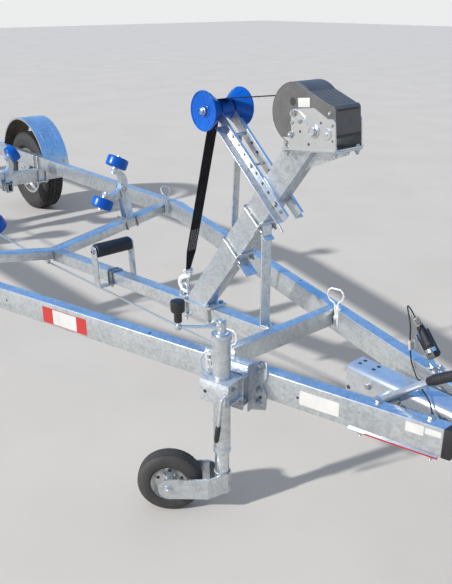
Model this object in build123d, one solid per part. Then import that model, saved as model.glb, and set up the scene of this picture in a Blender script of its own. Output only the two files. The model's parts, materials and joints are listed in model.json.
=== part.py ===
from build123d import *
import os
from math import asin, atan, cos, degrees, pi, radians, sin, tan

os.makedirs("parts", exist_ok=True)

# Boat trailer with one axle, drawn in millimetres
# +X forward to the coupling, +Y left, +Z up, ground at z = 0, x = 0 at half its length

# Overall sizes
overall_length = 7200.0
nose_reach = 1350.0
rail_top = 520.0
front_x = overall_length / 2 - nose_reach
tail_x = -overall_length / 2

# Gaps between pieces
seat = 0.3
pin_gap = 0.05

# Side rails
rail_height = 100.0
rail_width = 50.0
rail_wall = 4.0
rail_half_spacing = 784.0
rail_end_half_spacing = 102.0
kink_back = 1695.0
rail_nose = 790.0
tail_reach = 60.0
front_cap = 26.0
rear_cap = 5.0
cap_tongue = 40.0
rail_bottom = rail_top - rail_height
kink_x = front_x - kink_back
rail_front_x = front_x + rail_nose
rail_rear_x = tail_x + tail_reach
rail_slope = (rail_half_spacing - rail_end_half_spacing) / (rail_front_x - kink_x)
rail_angle = atan(rail_slope)
rail_inner_y = rail_half_spacing - rail_width / 2
rail_outer_y = rail_half_spacing + rail_width / 2

# Where the wheels stand
wheel_radius = 325.0
wheel_x = front_x - 3920.0

# Cross-members
cross_height = 74.0
cross_depth = 40.0
rear_cross_height = 80.0
rear_cross_depth = 60.0
rear_cross_inset = 20.0
tube_wall = 3.0
vee_stations = {"front": front_x - 1850.0, "rear": front_x - 4950.0}
vee_depth = 80.0
vee_height = 50.0
vee_middle_drop = 165.0
vee_end_drop = 36.0
carrier_gap = 15.0
carrier_depth = 50.0
carrier_height = 100.0
carrier_front_x = wheel_x + wheel_radius + carrier_gap + carrier_depth
carrier_overhang = 141.0
carrier_half_length = rail_outer_y + carrier_overhang
carrier_x = carrier_front_x - carrier_depth / 2
stub_y = 411.0
stub_width = 40.0
stub_height = 60.0
stub_drop = 24.0
stub_reach = 222.0

# Centre rail
centre_width = 60.0
centre_height = 60.0
centre_front_drop = 15.0
centre_rear_drop = 158.0

# Axle and wheels
tyre_width = 185.0
rim_radius = 190.0
rim_width = 146.0
rim_sheet = 4.0
rim_lip = 12.0
rim_well = 30.0
wheel_offset = 146.0
wheel_y = rail_half_spacing + wheel_offset
trailing = 170.0
arm_width = 20.0
arm_height = 70.0
axle_size = 80.0
axle_inset = 4.0
axle_half_length = rail_half_spacing - axle_inset
axle_x = wheel_x + trailing
hanger_half = 60.0
stub_radius = 20.0
hub_radius = 60.0
back_plate_radius = 115.0
back_plate = 6.0

# Mudguards
guard_radius = 390.0
guard_width = 214.0
guard_sheet = 3.0
guard_rise = 54.0
guard_lip = 10.0
foot_plate = 5.0
foot_tab = 40.0

# Winch post
post_angle = radians(52.5)
post_width = 60.0
post_depth = 100.0
post_wall = 4.0
post_foot_back = 509.0
post_plate = 8.0
head_plate = 6.0
head_tilt = radians(6)
head_rear = 33.0
head_front = 266.0
head_cap_rear = -5.0
head_half_width = 62.0
head_z = rail_top + 695.0
head_x = front_x
gusset_sheet = 6.0

# Bow roller and its arms
bow_x = front_x - 357.0
bow_z = rail_top + 783.0
bow_radius = 74.0
bow_neck = 40.0
bow_waist = 35.0
bow_half = 93.0
bow_pin = 10.0
bow_washer = 1.5
bow_flare = 3.0
strap_width = 50.0
strap_sheet = 2.5
arm_sheet = 4.0
arm_web = 40.0
arm_flange_start = 66.0
arm_low_x = front_x + 25.0
arm_low_z = rail_top + 447.0
arm_lower_flange = 38.0
arm_upper_flange = 14.0
stay_width = 30.0
stay_sheet = 6.0
stay_x = front_x - 285.0
stay_top_x = front_x - 262.0
stay_top_z = rail_top + 700.0
stay_bolt = 6.0
brace_width = 50.0
brace_x = front_x - 102.0
brace_sheet = 6.0
brace_foot = 55.0

# Winch, measured from the head plate
winch_half = 60.0
winch_sheet = 5.0
winch_base_half = 72.0
winch_rear = 33.0
winch_front = 263.0
winch_plate_round = 12.0
hood_sheet = 3.0
hood_radius = 99.0
hood_u = 84.0
hood_v = 117.0
hood_open = 40.0
slot_low = 156.0
slot_high = 184.0
slot_clear = 7.0
drive_u = 175.0
drive_v = 62.0
drive_radius = 9.0

# Winch strap and hook
top_run_rise = radians(7.6)
fall_lean = radians(15.4)
fall_run = 745.0
hook_radius = 6.0

# Jockey wheel
jockey_x = front_x + 140.0
jockey_out = 119.5
jockey_heading = radians(227.8)
leg_radius = 30.0
leg_bottom = rail_top - 278.0
leg_top = rail_top + 170.0
stem_radius = 25.0
stem_overlap = 200.0
jockey_radius = 115.0
jockey_width = 68.0
jockey_rim_radius = 66.0
jockey_trail = 184.0
jockey_axle = 8.0
fork_height = 80.0
fork_sheet = 6.0
fork_clear = 20.0
fork_end = 36.0
fork_bend = 47.0
crank_rise = 22.0
crank_length = 139.0
crank_radius = 5.0
crank_pin_radius = 7.0
crank_pin_length = 60.0
knob_gap = 3.0
knob_neck = 12.5
knob_neck_length = 50.0
knob_radius = 24.0
knob_height = 34.0
bracket_height = 80.0
bracket_middle = rail_top - 30.0
bracket_half = 57.0
bracket_across = 46.0
bracket_plate = 8.0
bracket_pocket = 14.0
bracket_wall = 5.0
bead_rise = 4.0
bead_height = 8.0
bead_z = 14.0
link_half = 48.0
link_top = 15.0
link_low = -90.0
clamp_lever_radius = 5.5

# Cradles that hold the side rollers
rocker_width = 40.0
rocker_back = 26.0
rocker_front = 20.0
rocker_end = 22.0
cradle_drop = 89.0
cradle_half_span = 128.0
cradle_pin = 8.0
roller_pin = 10.0
side_roller_radius = 64.0
side_roller_width = 64.0
side_roller_edge = 12.0
upright_sheet = 6.0
upright_width = 50.0
upright_gap = 5.5
cradles = {
    "front": {"x": vee_stations["front"], "y": 474.0, "z": rail_top + 116.0, "tilt": radians(62.5)},
    "rear": {"x": carrier_front_x + 170.0, "y": stub_y, "z": rail_top - 54.0, "tilt": radians(30.0)},
}

# Keel rollers
keel_radius = 35.0
keel_half = 100.0
keel_pin = 8.0
keel_strap = 50.0
keel_sheet = 6.0
keel_rows = {
    "front": {"x": front_x - 1197.0, "rise": 183.0},
    "middle": {"x": carrier_x, "rise": 80.0},
    "rear": {"x": rail_rear_x + rear_cross_inset + rear_cross_depth / 2, "rise": 60.0},
}

# Overrun unit and coupling
housing_half = 50.0
housing_rear = front_x + 355.0
housing_front = front_x + 850.0
housing_top = rail_top + 12.0
housing_wall = 5.0
housing_round = 24.0
flange_sheet = 6.0
flange_rear = front_x + 500.0
flange_front = rail_front_x - 8.0
flange_lip = 6.0
draw_radius = 25.0
draw_z = rail_top - 50.0
bellows_radius = 38.0
bellows_length = 200.0
ball_radius = 25.5
head_radius = 42.0
head_bottom = rail_top - 92.0
head_height = 74.0
head_bevel = 12.0

# Handbrake lever, from its pivot to its tip
lever_root = (front_x + 520.0, -74.0, rail_top - 48.0)
lever_bend = (front_x + 691.0, -80.0, rail_top + 99.0)
lever_tip = (front_x + 815.0, -84.0, rail_top + 178.0)
lever_radius = 12.0
lever_grip_radius = 17.0

# Brake rod, lashing rings and lights
brake_rod_radius = 5.0
brake_rod_y = -45.0
brake_rod_z = 284.0
brake_rod_reach = 150.0
brake_rod_rise = 72.0
ring_radius = 22.0
ring_wire = 5.0
board_overhang = 116.0
board_half = rail_half_spacing + board_overhang
board_height = 120.0
board_sheet = 3.0
board_lip = 22.0
lamp_length = 240.0
lamp_height = 100.0
lamp_depth = 25.0
lamp_inset = 15.0
lamp_y = board_half - lamp_inset - lamp_length / 2

# Plug, its holder on the left rail, and its cable to a gland on the right rail
plug_x = front_x + 550.5
plug_y = 178.0
plug_z = rail_top + 36.0
plug_rise = radians(50.0)
plug_radius = 21.0
plug_length = 150.0
plug_nut = 9.5
holder_half = 13.0
holder_sheet = 4.0
holder_gap = 1.0
holder_reach = 95.0
holder_foot = 35.0
band_sheet = 2.5
band_start = 22.0
band_end = 36.0
cable_radius = 2.5
cable_start = 34.0
gland_radius = 9.0
gland_tip = 4.5
gland_length = 34.0
cable_route = [
    (front_x + 432.6, 152.5, rail_top + 199.5),
    (front_x + 458.7, 122.5, rail_top + 195.3),
    (front_x + 478.0, 119.7, rail_top + 144.0),
    (front_x + 473.0, 129.7, rail_top + 95.0),
    (front_x + 470.0, 144.0, rail_top + 42.0),
    (front_x + 473.7, 153.5, rail_top - 7.0),
    (front_x + 497.5, 146.0, rail_top - 34.0),
    (front_x + 531.0, 110.0, rail_top - 30.0),
    (front_x + 568.0, 71.0, rail_top - 8.0),
    (front_x + 600.0, 22.0, rail_top + 28.0),
    (front_x + 635.0, -23.0, rail_top + 26.0),
    (front_x + 665.0, -46.0, rail_top + 29.0),
    (front_x + 694.0, -56.0, rail_top + 12.0),
    (front_x + 714.0, -77.5, rail_top - 1.5),
]


def span(x0, x1, y0, y1, z0, z1):
    """A box between two corners"""
    return Pos((x0 + x1) / 2, (y0 + y1) / 2, (z0 + z1) / 2) * Box(x1 - x0, y1 - y0, z1 - z0)


def rod(start, end, radius):
    """A round bar between two points"""
    a = Vector(*start)
    run = Vector(*end) - a
    return Plane(origin=a + run * 0.5, z_dir=run) * Cylinder(radius, run.length)


def plate_xz(points, y0, y1):
    """An outline in the XZ plane, extruded between two values of y"""
    face = Plane.XZ.offset(-y0) * make_face(Polyline(*points, close=True))
    return extrude(face, -(y1 - y0))


def plate_xy(points, z0, z1):
    """An outline in plan, extruded between two heights"""
    return extrude(Pos(0, 0, z0) * make_face(Polyline(*points, close=True)), z1 - z0)


def turned(profile, centre, direction):
    """An outline of radius and height, revolved about an axis"""
    body = revolve(Plane.XZ * make_face(Polyline(*profile, close=True)), Axis.Z)
    return Plane(origin=centre, z_dir=direction) * body


def mirrored(shape):
    """The same piece on the other side of the centreline"""
    return mirror(shape, about=Plane.XZ)


def both(shape):
    """A piece and its mirror image"""
    return shape + mirrored(shape)


def save(name, shape):
    export_step(shape, f"parts/{name}.step")


def rail_y(x):
    """Centreline of the left rail at a station"""
    return rail_half_spacing - max(0.0, x - kink_x) * rail_slope


def rail_edge(x, half):
    """The left rail's plan at a station, half a width outward or inward of its centreline"""
    if x < kink_x:
        return rail_half_spacing + half
    return rail_y(x) + half / cos(rail_angle)


def rail_prism(half, z0, z1, x0, x1):
    """The left rail's plan between two stations and two heights"""
    outer = [(x0, rail_edge(x0, half))]
    inner = [(x0, rail_edge(x0, -half))]
    if x0 < kink_x < x1:
        shift = half * tan(rail_angle / 2)
        outer.append((kink_x + shift, rail_half_spacing + half))
        inner.append((kink_x - shift, rail_half_spacing - half))
    outer.append((x1, rail_edge(x1, half)))
    inner.append((x1, rail_edge(x1, -half)))
    return plate_xy(outer + inner[::-1], z0, z1)


def side_rail():
    outer = rail_prism(rail_width / 2, rail_bottom, rail_top, rail_rear_x, rail_front_x)
    half = rail_width / 2 - rail_wall
    low = rail_bottom + rail_wall
    high = rail_top - rail_wall
    return outer - rail_prism(half, low, high, rail_rear_x - 10, rail_front_x + 10)


def rail_cap(x_end, length, tongue):
    """A rubber plug in one open end of the left rail"""
    half = rail_width / 2
    skin = half - rail_wall - seat
    low = rail_bottom + rail_wall + seat
    high = rail_top - rail_wall - seat
    x0, x1 = sorted((x_end, x_end + length))
    t0, t1 = sorted((x_end - tongue, x_end + length / 2))
    return rail_prism(half, rail_bottom, rail_top, x0, x1) + rail_prism(skin, low, high, t0, t1)


def cross_tube(x0, x1, height, wall):
    """Tube between the rails' inner faces, its ends cut to their angle"""

    def block(inset):
        a = x0 + inset
        b = x1 - inset
        half = -rail_width / 2
        outline = [(a, rail_edge(a, half)), (b, rail_edge(b, half))]
        outline += [(b, -rail_edge(b, half)), (a, -rail_edge(a, half))]
        return plate_xy(outline, rail_top - height + inset, rail_top - inset)

    return block(0) - block(wall)


def cross_members():
    front = cross_tube(front_x - cross_depth, front_x, cross_height, tube_wall)
    rear_x = rail_rear_x + rear_cross_inset
    rear = cross_tube(rear_x, rear_x + rear_cross_depth, rear_cross_height, tube_wall)
    return front + rear


vee_slope = (vee_middle_drop - vee_end_drop) / rail_inner_y


def vee_top(y):
    """Height of a dropped cross-member's top at a distance from the centreline"""
    return rail_top - vee_middle_drop + vee_slope * abs(y)


def vee_member(x):
    """Dropped cross-member, low at the middle and rising to the rails"""

    def block(inset):
        high = vee_top(rail_inner_y) - inset
        low = vee_top(0) - inset
        rise = vee_height - 2 * inset
        upper = [(-rail_inner_y, high), (0, low), (rail_inner_y, high)]
        lower = [(y, z - rise) for y, z in reversed(upper)]
        face = make_face(Polyline(*upper, *lower, close=True))
        return extrude(Plane.YZ.offset(x - vee_depth / 2 + inset) * face, vee_depth - 2 * inset)

    return block(0) - block(tube_wall)


centre_x0 = vee_stations["front"] + vee_depth / 2
centre_x1 = front_x - cross_depth
centre_slope = (centre_rear_drop - centre_front_drop) / (centre_x1 - centre_x0)


def centre_top(x):
    """Height of the centre rail's top, which falls to the rear"""
    return rail_top - centre_front_drop - (centre_x1 - x) * centre_slope


def centre_rail():

    def block(inset):
        rise = centre_height - 2 * inset
        upper = [(centre_x0, centre_top(centre_x0) - inset), (centre_x1, centre_top(centre_x1) - inset)]
        lower = [(x, z - rise) for x, z in reversed(upper)]
        return plate_xz(upper + lower, inset - centre_width / 2, centre_width / 2 - inset)

    return block(0) - block(tube_wall)


def carrier_beam():
    """Tube across the underside of the rails, with two open tubes that carry the rear cradles"""
    x0 = carrier_front_x - carrier_depth
    z0 = rail_bottom - carrier_height
    w = rail_wall
    outer = span(x0, carrier_front_x, -carrier_half_length, carrier_half_length, z0, rail_bottom)
    length = carrier_half_length - w
    inner = span(x0 + w, carrier_front_x - w, -length, length, z0 + w, rail_bottom - w)
    x1 = carrier_front_x + stub_reach
    top = rail_bottom - stub_drop
    half = stub_width / 2
    stub = span(carrier_front_x, x1, stub_y - half, stub_y + half, top - stub_height, top)
    core = span(
        carrier_front_x, x1, stub_y - half + w, stub_y + half - w, top - stub_height + w, top - w
    )
    return (outer - inner) + both(stub - core)


def axle():
    """Square beam under the rails, with hangers, trailing arms and stub axles"""
    z = wheel_radius
    half = axle_size / 2
    beam = span(axle_x - half, axle_x + half, -axle_half_length, axle_half_length, z - half, z + half)
    hanger = span(
        axle_x - hanger_half,
        axle_x + hanger_half,
        rail_inner_y,
        rail_outer_y - axle_inset,
        z + half,
        rail_bottom,
    )
    arm_end = arm_height / 2
    arm = span(
        wheel_x, axle_x, axle_half_length, axle_half_length + arm_width, z - arm_end, z + arm_end
    )
    for x in (wheel_x, axle_x):
        arm += rod((x, axle_half_length, z), (x, axle_half_length + arm_width, z), arm_end)
    inner = axle_half_length + arm_width
    stub = rod((wheel_x, inner, z), (wheel_x, wheel_y + 18, z), stub_radius)
    drum_y = wheel_y - tyre_width / 2
    plate = rod((wheel_x, inner, z), (wheel_x, drum_y - 20, z), 45)
    plate += rod((wheel_x, drum_y - 22, z), (wheel_x, drum_y - 22 + back_plate, z), back_plate_radius)
    return beam + both(hanger + arm + stub + plate)


rim_profile = [
    (rim_radius, -rim_width / 2),
    (rim_radius, -rim_width / 2 + rim_sheet),
    (rim_radius - rim_lip, -rim_width / 2 + rim_sheet + 6),
    (rim_radius - rim_lip - 2, -30),
    (rim_radius - rim_well, -14),
    (rim_radius - rim_well, 30),
    (rim_radius - rim_lip - 2, 44),
    (rim_radius - rim_lip, rim_width / 2 - rim_sheet - 6),
    (rim_radius, rim_width / 2 - rim_sheet),
    (rim_radius, rim_width / 2),
    (rim_radius - rim_lip - rim_sheet, rim_width / 2),
    (rim_radius - rim_lip - rim_sheet - 2, 46),
    (rim_radius - rim_well - rim_sheet, 34),
    (rim_radius - 50, 50),
    (90, 44),
    (hub_radius, 34),
    (hub_radius - 8, 34),
    (hub_radius - 14, 62),
    (30, 68),
    (30, 78),
    (0, 78),
    (0, 20),
    (stub_radius + pin_gap, 20),
    (stub_radius + pin_gap, -56),
    (hub_radius + 20, -56),
    (hub_radius + 20, -16),
    (hub_radius, -10),
    (hub_radius, 28),
    (90, 38),
    (rim_radius - 52, 44),
    (rim_radius - rim_well - rim_sheet, 22),
    (rim_radius - rim_well - rim_sheet, -16),
    (rim_radius - rim_lip - rim_sheet - 2, -32),
    (rim_radius - rim_lip - rim_sheet, -rim_width / 2),
]


def rim(side):
    """Steel wheel with a dished disc, its hub and brake drum"""
    return turned(rim_profile, (wheel_x, side * wheel_y, wheel_radius), (0, side, 0))


def tyre(side):
    """Tyre with rounded shoulders, seated on the rim"""
    half = tyre_width / 2
    bead = rim_width / 2 - rim_sheet - 6 - seat
    crown = wheel_radius - 22
    right = [
        (rim_radius - rim_lip + seat, bead),
        (rim_radius + seat, bead + 5),
        (rim_radius + 10, bead + 9),
        (rim_radius + 26, half - 5),
        (rim_radius + 56, half),
        (wheel_radius - 36, half - 3),
        (wheel_radius - 12, half - 16),
        (wheel_radius - 2, half - 32),
        (wheel_radius, half - 60),
    ]
    inner = [
        (crown, half - 40),
        (rim_radius + 60, half - 14),
        (rim_radius + 8, bead - 14),
    ]
    outline = right + [(r, -y) for r, y in reversed(right)]
    outline += [(r, -y) for r, y in reversed(inner)] + inner
    return turned(outline, (wheel_x, side * wheel_y, wheel_radius), (0, side, 0))


guard_z = wheel_radius + guard_rise
guard_foot_z = rail_bottom + foot_plate
guard_reach = guard_radius * cos(asin((guard_foot_z - guard_z) / guard_radius))


def mudguard():
    """Half-round sheet over the left wheel, its edges turned in"""
    inner = guard_radius - guard_sheet
    ring = Cylinder(guard_radius, guard_width) - Cylinder(inner - guard_lip, guard_width + 2)
    ring -= Cylinder(inner, guard_width - 2 * guard_sheet)
    ring = Pos(wheel_x, wheel_y, guard_z) * (Rot(90, 0, 0) * ring)
    wide = 2 * guard_radius
    return ring - span(wheel_x - wide, wheel_x + wide, 0, 2 * wheel_y, -wide, guard_foot_z)


def guard_feet():
    """Plates that carry the mudguards' ends, from the carrier beam and from the rails"""
    y0 = wheel_y - guard_width / 2
    y1 = wheel_y + guard_width / 2
    front = wheel_x + guard_reach
    back = wheel_x - guard_reach
    low = guard_foot_z
    x0 = carrier_front_x - carrier_depth
    foot = span(x0, front + 8, y0, carrier_half_length, rail_bottom, low)
    foot += span(front - 30, front + 8, y0, y1, rail_bottom, low)
    foot += span(front + seat, front + seat + 4, y0 + 25, y1 - 25, low, low + foot_tab)
    shelf = span(back - 8, back + 60, rail_outer_y, y1, rail_bottom, low)
    shelf += span(back - 8, back + 60, rail_outer_y, rail_outer_y + 5, rail_bottom, rail_top)
    shelf += span(back - seat - 4, back - seat, y0 + 25, y1 - 25, low, low + foot_tab)
    return both(foot) + both(shelf)


post_cos = cos(post_angle)
post_sin = sin(post_angle)
post_foot_x = front_x - post_foot_back
post_foot_z = centre_top(post_foot_x)


def post_plane(along):
    """Section plane of the post: local x across the trailer, local y toward its upper side"""
    origin = (post_foot_x + along * post_cos, 0, post_foot_z + along * post_sin)
    return Plane(origin=origin, x_dir=(0, -1, 0), z_dir=(post_cos, 0, post_sin))


def post_face(x, side):
    """Height of the post's upper (1) or lower (-1) face at a station"""
    edge_x = post_foot_x - side * post_depth / 2 / post_sin
    return post_foot_z + (x - edge_x) * tan(post_angle)


def tilted(x, z, angle):
    """Frame with its own x forward and up by an angle and its own z up"""
    return Plane(origin=(x, 0, z), x_dir=(cos(angle), 0, sin(angle)), z_dir=(-sin(angle), 0, cos(angle)))


head_frame = tilted(head_x, head_z, head_tilt)
foot_frame = tilted(post_foot_x, post_foot_z, atan(centre_slope))


def side_view(frame):
    """The frame's own xz plane, with its normal across the trailer"""
    return Plane(origin=frame.origin, x_dir=frame.x_dir, z_dir=(0, -1, 0))


head_side = side_view(head_frame)


def winch_post():
    length = 1250.0
    start = -post_depth
    tube = extrude(post_plane(start) * Rectangle(post_width, post_depth), length)
    wall = 2 * post_wall
    tube -= extrude(post_plane(start) * Rectangle(post_width - wall, post_depth - wall), length)
    tube -= head_frame * span(-length, length, -post_depth, post_depth, -head_plate, length)
    tube -= foot_frame * span(-length, length, -post_depth, post_depth, -length, post_plate)
    head = span(head_rear, head_front, -head_half_width, head_half_width, -head_plate, 0)
    head += span(head_cap_rear, head_rear, -post_width / 2, post_width / 2, -head_plate, 0)
    head = head_frame * head
    base = foot_frame * span(-78, 122, -46, 46, 0, post_plate)
    outline = [(60, -head_plate), (262, -head_plate), (262, -16), (110, -62), (20, -100), (20, -60)]
    gusset = extrude(head_side * make_face(Polyline(*outline, close=True)), gusset_sheet / 2, both=True)
    return tube + head + base + gusset


def front_brace():
    """Flat bar from the centre rail up to the post's underside"""
    x0 = brace_x - brace_sheet
    half = brace_width / 2
    points = [(x0, centre_top(x0)), (brace_x, centre_top(brace_x))]
    points += [(brace_x, post_face(brace_x, -1)), (x0, post_face(x0, -1))]
    foot = tilted(brace_x, centre_top(brace_x), atan(centre_slope)) * span(
        -1, brace_foot, -half, half, 0, brace_sheet
    )
    return plate_xz(points, -half, half) + foot


def arm_stay():
    """Flat bar from the post's upper face to a cross-bolt between the roller arms"""
    half = stay_width / 2
    low = post_face(stay_x, 1)
    points = [
        (stay_x - stay_sheet, post_face(stay_x - stay_sheet, 1)),
        (stay_x, low),
        (stay_top_x, stay_top_z),
        (stay_top_x - stay_sheet, stay_top_z),
    ]
    bar = plate_xz(points, -half, half)
    bolt = rod(
        (stay_top_x - stay_sheet / 2, -post_width / 2 - seat, stay_top_z),
        (stay_top_x - stay_sheet / 2, post_width / 2 + seat, stay_top_z),
        stay_bolt,
    )
    return bar + bolt


arm_run = Vector(arm_low_x - bow_x, 0, arm_low_z - bow_z)


def roller_arm():
    """The left arm: an open channel against the post's side, its end rounded at the pin"""
    base = Vector(bow_x, post_width / 2 + seat, bow_z)
    frame = Plane(origin=base, x_dir=arm_run.normalized(), z_dir=(0, 1, 0))
    half = arm_web / 2
    length = arm_run.length
    web = frame * span(0, length, -half, half, 0, arm_sheet)
    end = extrude(frame * Circle(half), arm_sheet)
    lower = frame * span(arm_flange_start, length, half - arm_sheet, half, 0, arm_lower_flange)
    upper = frame * span(arm_flange_start, length, -half, arm_sheet - half, 0, arm_upper_flange)
    hole = extrude(frame * Circle(bow_pin + pin_gap), arm_sheet)
    return web + end + upper + lower - hole


def bow_roller():
    """Two flared ends and a waist on one pin that turns in the arms' ends"""
    inner = post_width / 2 + seat + arm_sheet + bow_washer
    waist_end = post_width / 2 + seat - bow_washer
    profile = [
        (0, 0),
        (bow_waist, 0),
        (bow_waist, strap_width / 2 + seat),
        (bow_waist + bow_flare, waist_end),
        (bow_pin, waist_end),
        (bow_pin, inner),
        (bow_neck, inner),
        (bow_radius - 2, bow_half - 8),
        (bow_radius, bow_half - 5),
        (bow_radius, bow_half),
        (bow_pin, bow_half - 12),
        (bow_pin, bow_half + 14),
        (0, bow_half + 14),
    ]
    half = turned(profile, (bow_x, 0, bow_z), (0, 1, 0))
    return both(half)


drum_reach = head_frame.from_local_coords((hood_u, 0, hood_v)) - Vector(bow_x, 0, bow_z)
top_run = drum_reach.dot(Vector(cos(top_run_rise), 0, sin(top_run_rise)))
drum_radius = bow_waist - drum_reach.dot(Vector(-sin(top_run_rise), 0, cos(top_run_rise)))


def winch_frame():
    """Two side plates on a base, with the wound drum and shafts between them"""
    body = head_frame * span(winch_rear, winch_front, -winch_base_half, winch_base_half, 0, winch_sheet)
    outline = [(winch_rear, 0), (winch_rear, winch_sheet), (67, 36), (74, 50), (76, 131), (178, 134)]
    outline += [(235, 100), (winch_front, 100), (winch_front, 0)]
    face = make_face(Polyline(*outline, close=True))
    corners = [v for v in face.vertices() if v.Y > 90]
    face = head_side * fillet(corners, winch_plate_round)
    inner = winch_half + seat
    plates = extrude(face, inner + winch_sheet, both=True) - extrude(face, inner, both=True)
    drum = extrude(head_side * Pos(hood_u, hood_v) * Circle(drum_radius), winch_half - hood_sheet - 1, both=True)
    shaft = extrude(head_side * Pos(hood_u, hood_v) * Circle(drive_radius), winch_half + 10, both=True)
    drive = extrude(head_side * Pos(drive_u, drive_v) * Circle(drive_radius), winch_half + 20, both=True)
    return body + plates + drum + shaft + drive


def winch_cover():
    """Round-backed hood between the side plates, open below and slotted behind"""

    def hood(inset):
        radius = hood_radius - inset
        half = winch_half - inset
        disc = extrude(head_side * Pos(hood_u, hood_v) * Circle(radius), half, both=True)
        front = winch_front - 1 - inset
        slope = [(110, 207 - inset), (243, 141 - inset), (255 - inset, 139 - inset), (front, 130 - inset)]
        outline = [(hood_u, hood_v + radius)] + slope + [(front, hood_open), (hood_u, hood_open)]
        return disc + extrude(head_side * make_face(Polyline(*outline, close=True)), half, both=True)

    cover = hood(0) - hood(hood_sheet)
    wide = 2 * winch_half
    cover -= head_frame * span(-wide, 3 * wide, -wide, wide, -wide, hood_open)
    slot_half = strap_width / 2 + slot_clear
    cover -= head_frame * span(-wide, hood_u, -slot_half, slot_half, slot_low, slot_high)
    for u, v in ((hood_u, hood_v), (drive_u, drive_v)):
        cover -= extrude(head_side * Pos(u, v) * Circle(drive_radius + 2), wide, both=True)
    return cover


def around_bow(radius, angle):
    """A point round the bow roller's axis"""
    return (bow_x + radius * cos(angle), bow_z + radius * sin(angle))


def winch_strap():
    """Webbing from the drum over the roller's waist and down to the hook"""
    first = pi / 2 + top_run_rise
    last = pi - fall_lean

    def edge(radius):
        tangent = around_bow(radius, first)
        leaving = around_bow(radius, last)
        start = (tangent[0] + top_run * cos(top_run_rise), tangent[1] + top_run * sin(top_run_rise))
        end = (leaving[0] - fall_run * sin(fall_lean), leaving[1] - fall_run * cos(fall_lean))
        arc = ThreePointArc(tangent, around_bow(radius, (first + last) / 2), leaving)
        return Line(start, tangent) + arc + Line(leaving, end), start, end

    inner, start_in, end_in = edge(bow_waist + seat)
    outer, start_out, end_out = edge(bow_waist + seat + strap_sheet)
    outline = inner + outer + Line(start_in, start_out) + Line(end_in, end_out)
    return extrude(Plane.XZ * make_face(outline), strap_width / 2, both=True)


strap_end_x, strap_end_z = around_bow(bow_waist + seat + strap_sheet / 2, pi - fall_lean)
strap_end_x -= fall_run * sin(fall_lean)
strap_end_z -= fall_run * cos(fall_lean)
strap_down = Vector(-sin(fall_lean), 0, -cos(fall_lean))
hook_x = front_x - 614.0
eye_radius = 18.0


def strap_hook():
    """Hook body between the strap's end and the eye on the post's foot"""
    centre = Vector(strap_end_x, 0, strap_end_z) + strap_down * hook_radius
    across = Vector(0, strap_width / 2, 0)
    body = rod(centre - across, centre + across, hook_radius)
    low = Vector(hook_x, 0, centre_top(hook_x) + post_plate + eye_radius)
    shank = rod(centre, low, hook_radius)
    eye = Plane(origin=low, z_dir=(0, 1, 0)) * Torus(eye_radius, hook_radius)
    plate = foot_frame * span(-124, -78 - seat, -20, 20, 0, post_plate)
    return body + shank + eye + plate


def overrun_housing():
    """Round-topped channel between the rails, on a plate under them"""
    plate_z = rail_bottom - flange_sheet

    def block(inset):
        half = housing_half - inset
        section = [(-half, rail_bottom), (half, rail_bottom), (half, housing_top - inset), (-half, housing_top - inset)]
        face = Plane.YZ.offset(housing_rear) * make_face(Polyline(*section, close=True))
        body = extrude(face, housing_front - housing_rear)
        top = body.edges().filter_by(Axis.X).group_by(Axis.Z)[-1]
        return fillet(top, housing_round - inset)

    lip = rail_width / 2 + flange_lip
    outline = [(flange_rear, rail_edge(flange_rear, lip)), (flange_front, rail_edge(flange_front, lip))]
    outline += [(x, -y) for x, y in reversed(outline)]
    plate = plate_xy(outline, plate_z, rail_bottom)
    hole = rod((housing_front - 40, 0, draw_z), (housing_front + 40, 0, draw_z), draw_radius)
    end = span(housing_front - 20, housing_front, -housing_half, housing_half, rail_bottom, housing_top - housing_round)
    return block(0) - block(housing_wall) + plate + (end - hole)


def draw_tube():
    return rod((flange_rear, 0, draw_z), (front_x + nose_reach - 2.5 * head_radius, 0, draw_z), draw_radius - pin_gap)


def bellows():
    """Rubber boot with folds between the housing and the coupling head"""
    folds = 8
    pitch = bellows_length / folds
    profile = [(draw_radius, 0)]
    for i in range(folds):
        profile.append((bellows_radius - 9, i * pitch))
        profile.append((bellows_radius, (i + 0.5) * pitch))
    profile += [(bellows_radius - 9, bellows_length), (draw_radius, bellows_length)]
    return turned(profile, (housing_front, 0, draw_z), (1, 0, 0))


def coupling_head():
    """Pressed shell with a ball socket below its nose and a handle above"""
    tip = front_x + nose_reach
    x = tip - head_radius
    rear = housing_front + bellows_length
    shoulder = head_bottom + head_height - head_bevel
    top = shoulder + head_bevel
    shell = Pos(x, 0, (head_bottom + shoulder) / 2) * Cylinder(head_radius, shoulder - head_bottom)
    shell += Pos(x, 0, (shoulder + top) / 2) * Cone(head_radius, head_radius - head_bevel, head_bevel)
    for inset, z0, z1 in ((0, head_bottom + 4, shoulder), (head_bevel / 2, shoulder, top)):
        front = head_radius - inset
        side = 36 - inset
        shell += plate_xy([(x, front), (rear, side), (rear, -side), (x, -front)], z0, z1)
    hole = rod((rear - 1, 0, draw_z), (tip - 2.5 * head_radius, 0, draw_z), draw_radius)
    socket = Pos(x, 0, head_bottom + 24) * Cylinder(ball_radius, 48)
    grip = span(rear + 50, x - 10, -12, 12, top + 22, top + 32)
    grip += span(x - 34, x - 10, -12, 12, top - 1, top + 32)
    return shell - hole - socket + grip


def handbrake_lever():
    """Tube lever on a pivot through the housing"""
    boss = rod((lever_root[0], -housing_half, lever_root[2]), (lever_root[0], lever_root[1] - 14, lever_root[2]), 20)
    return rod(lever_root, lever_bend, lever_radius) + boss


def handbrake_grip():
    """Rubber sleeve on the lever's upper end"""
    return rod(lever_bend, lever_tip, lever_grip_radius) - rod(lever_root, lever_bend, lever_radius)


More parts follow.
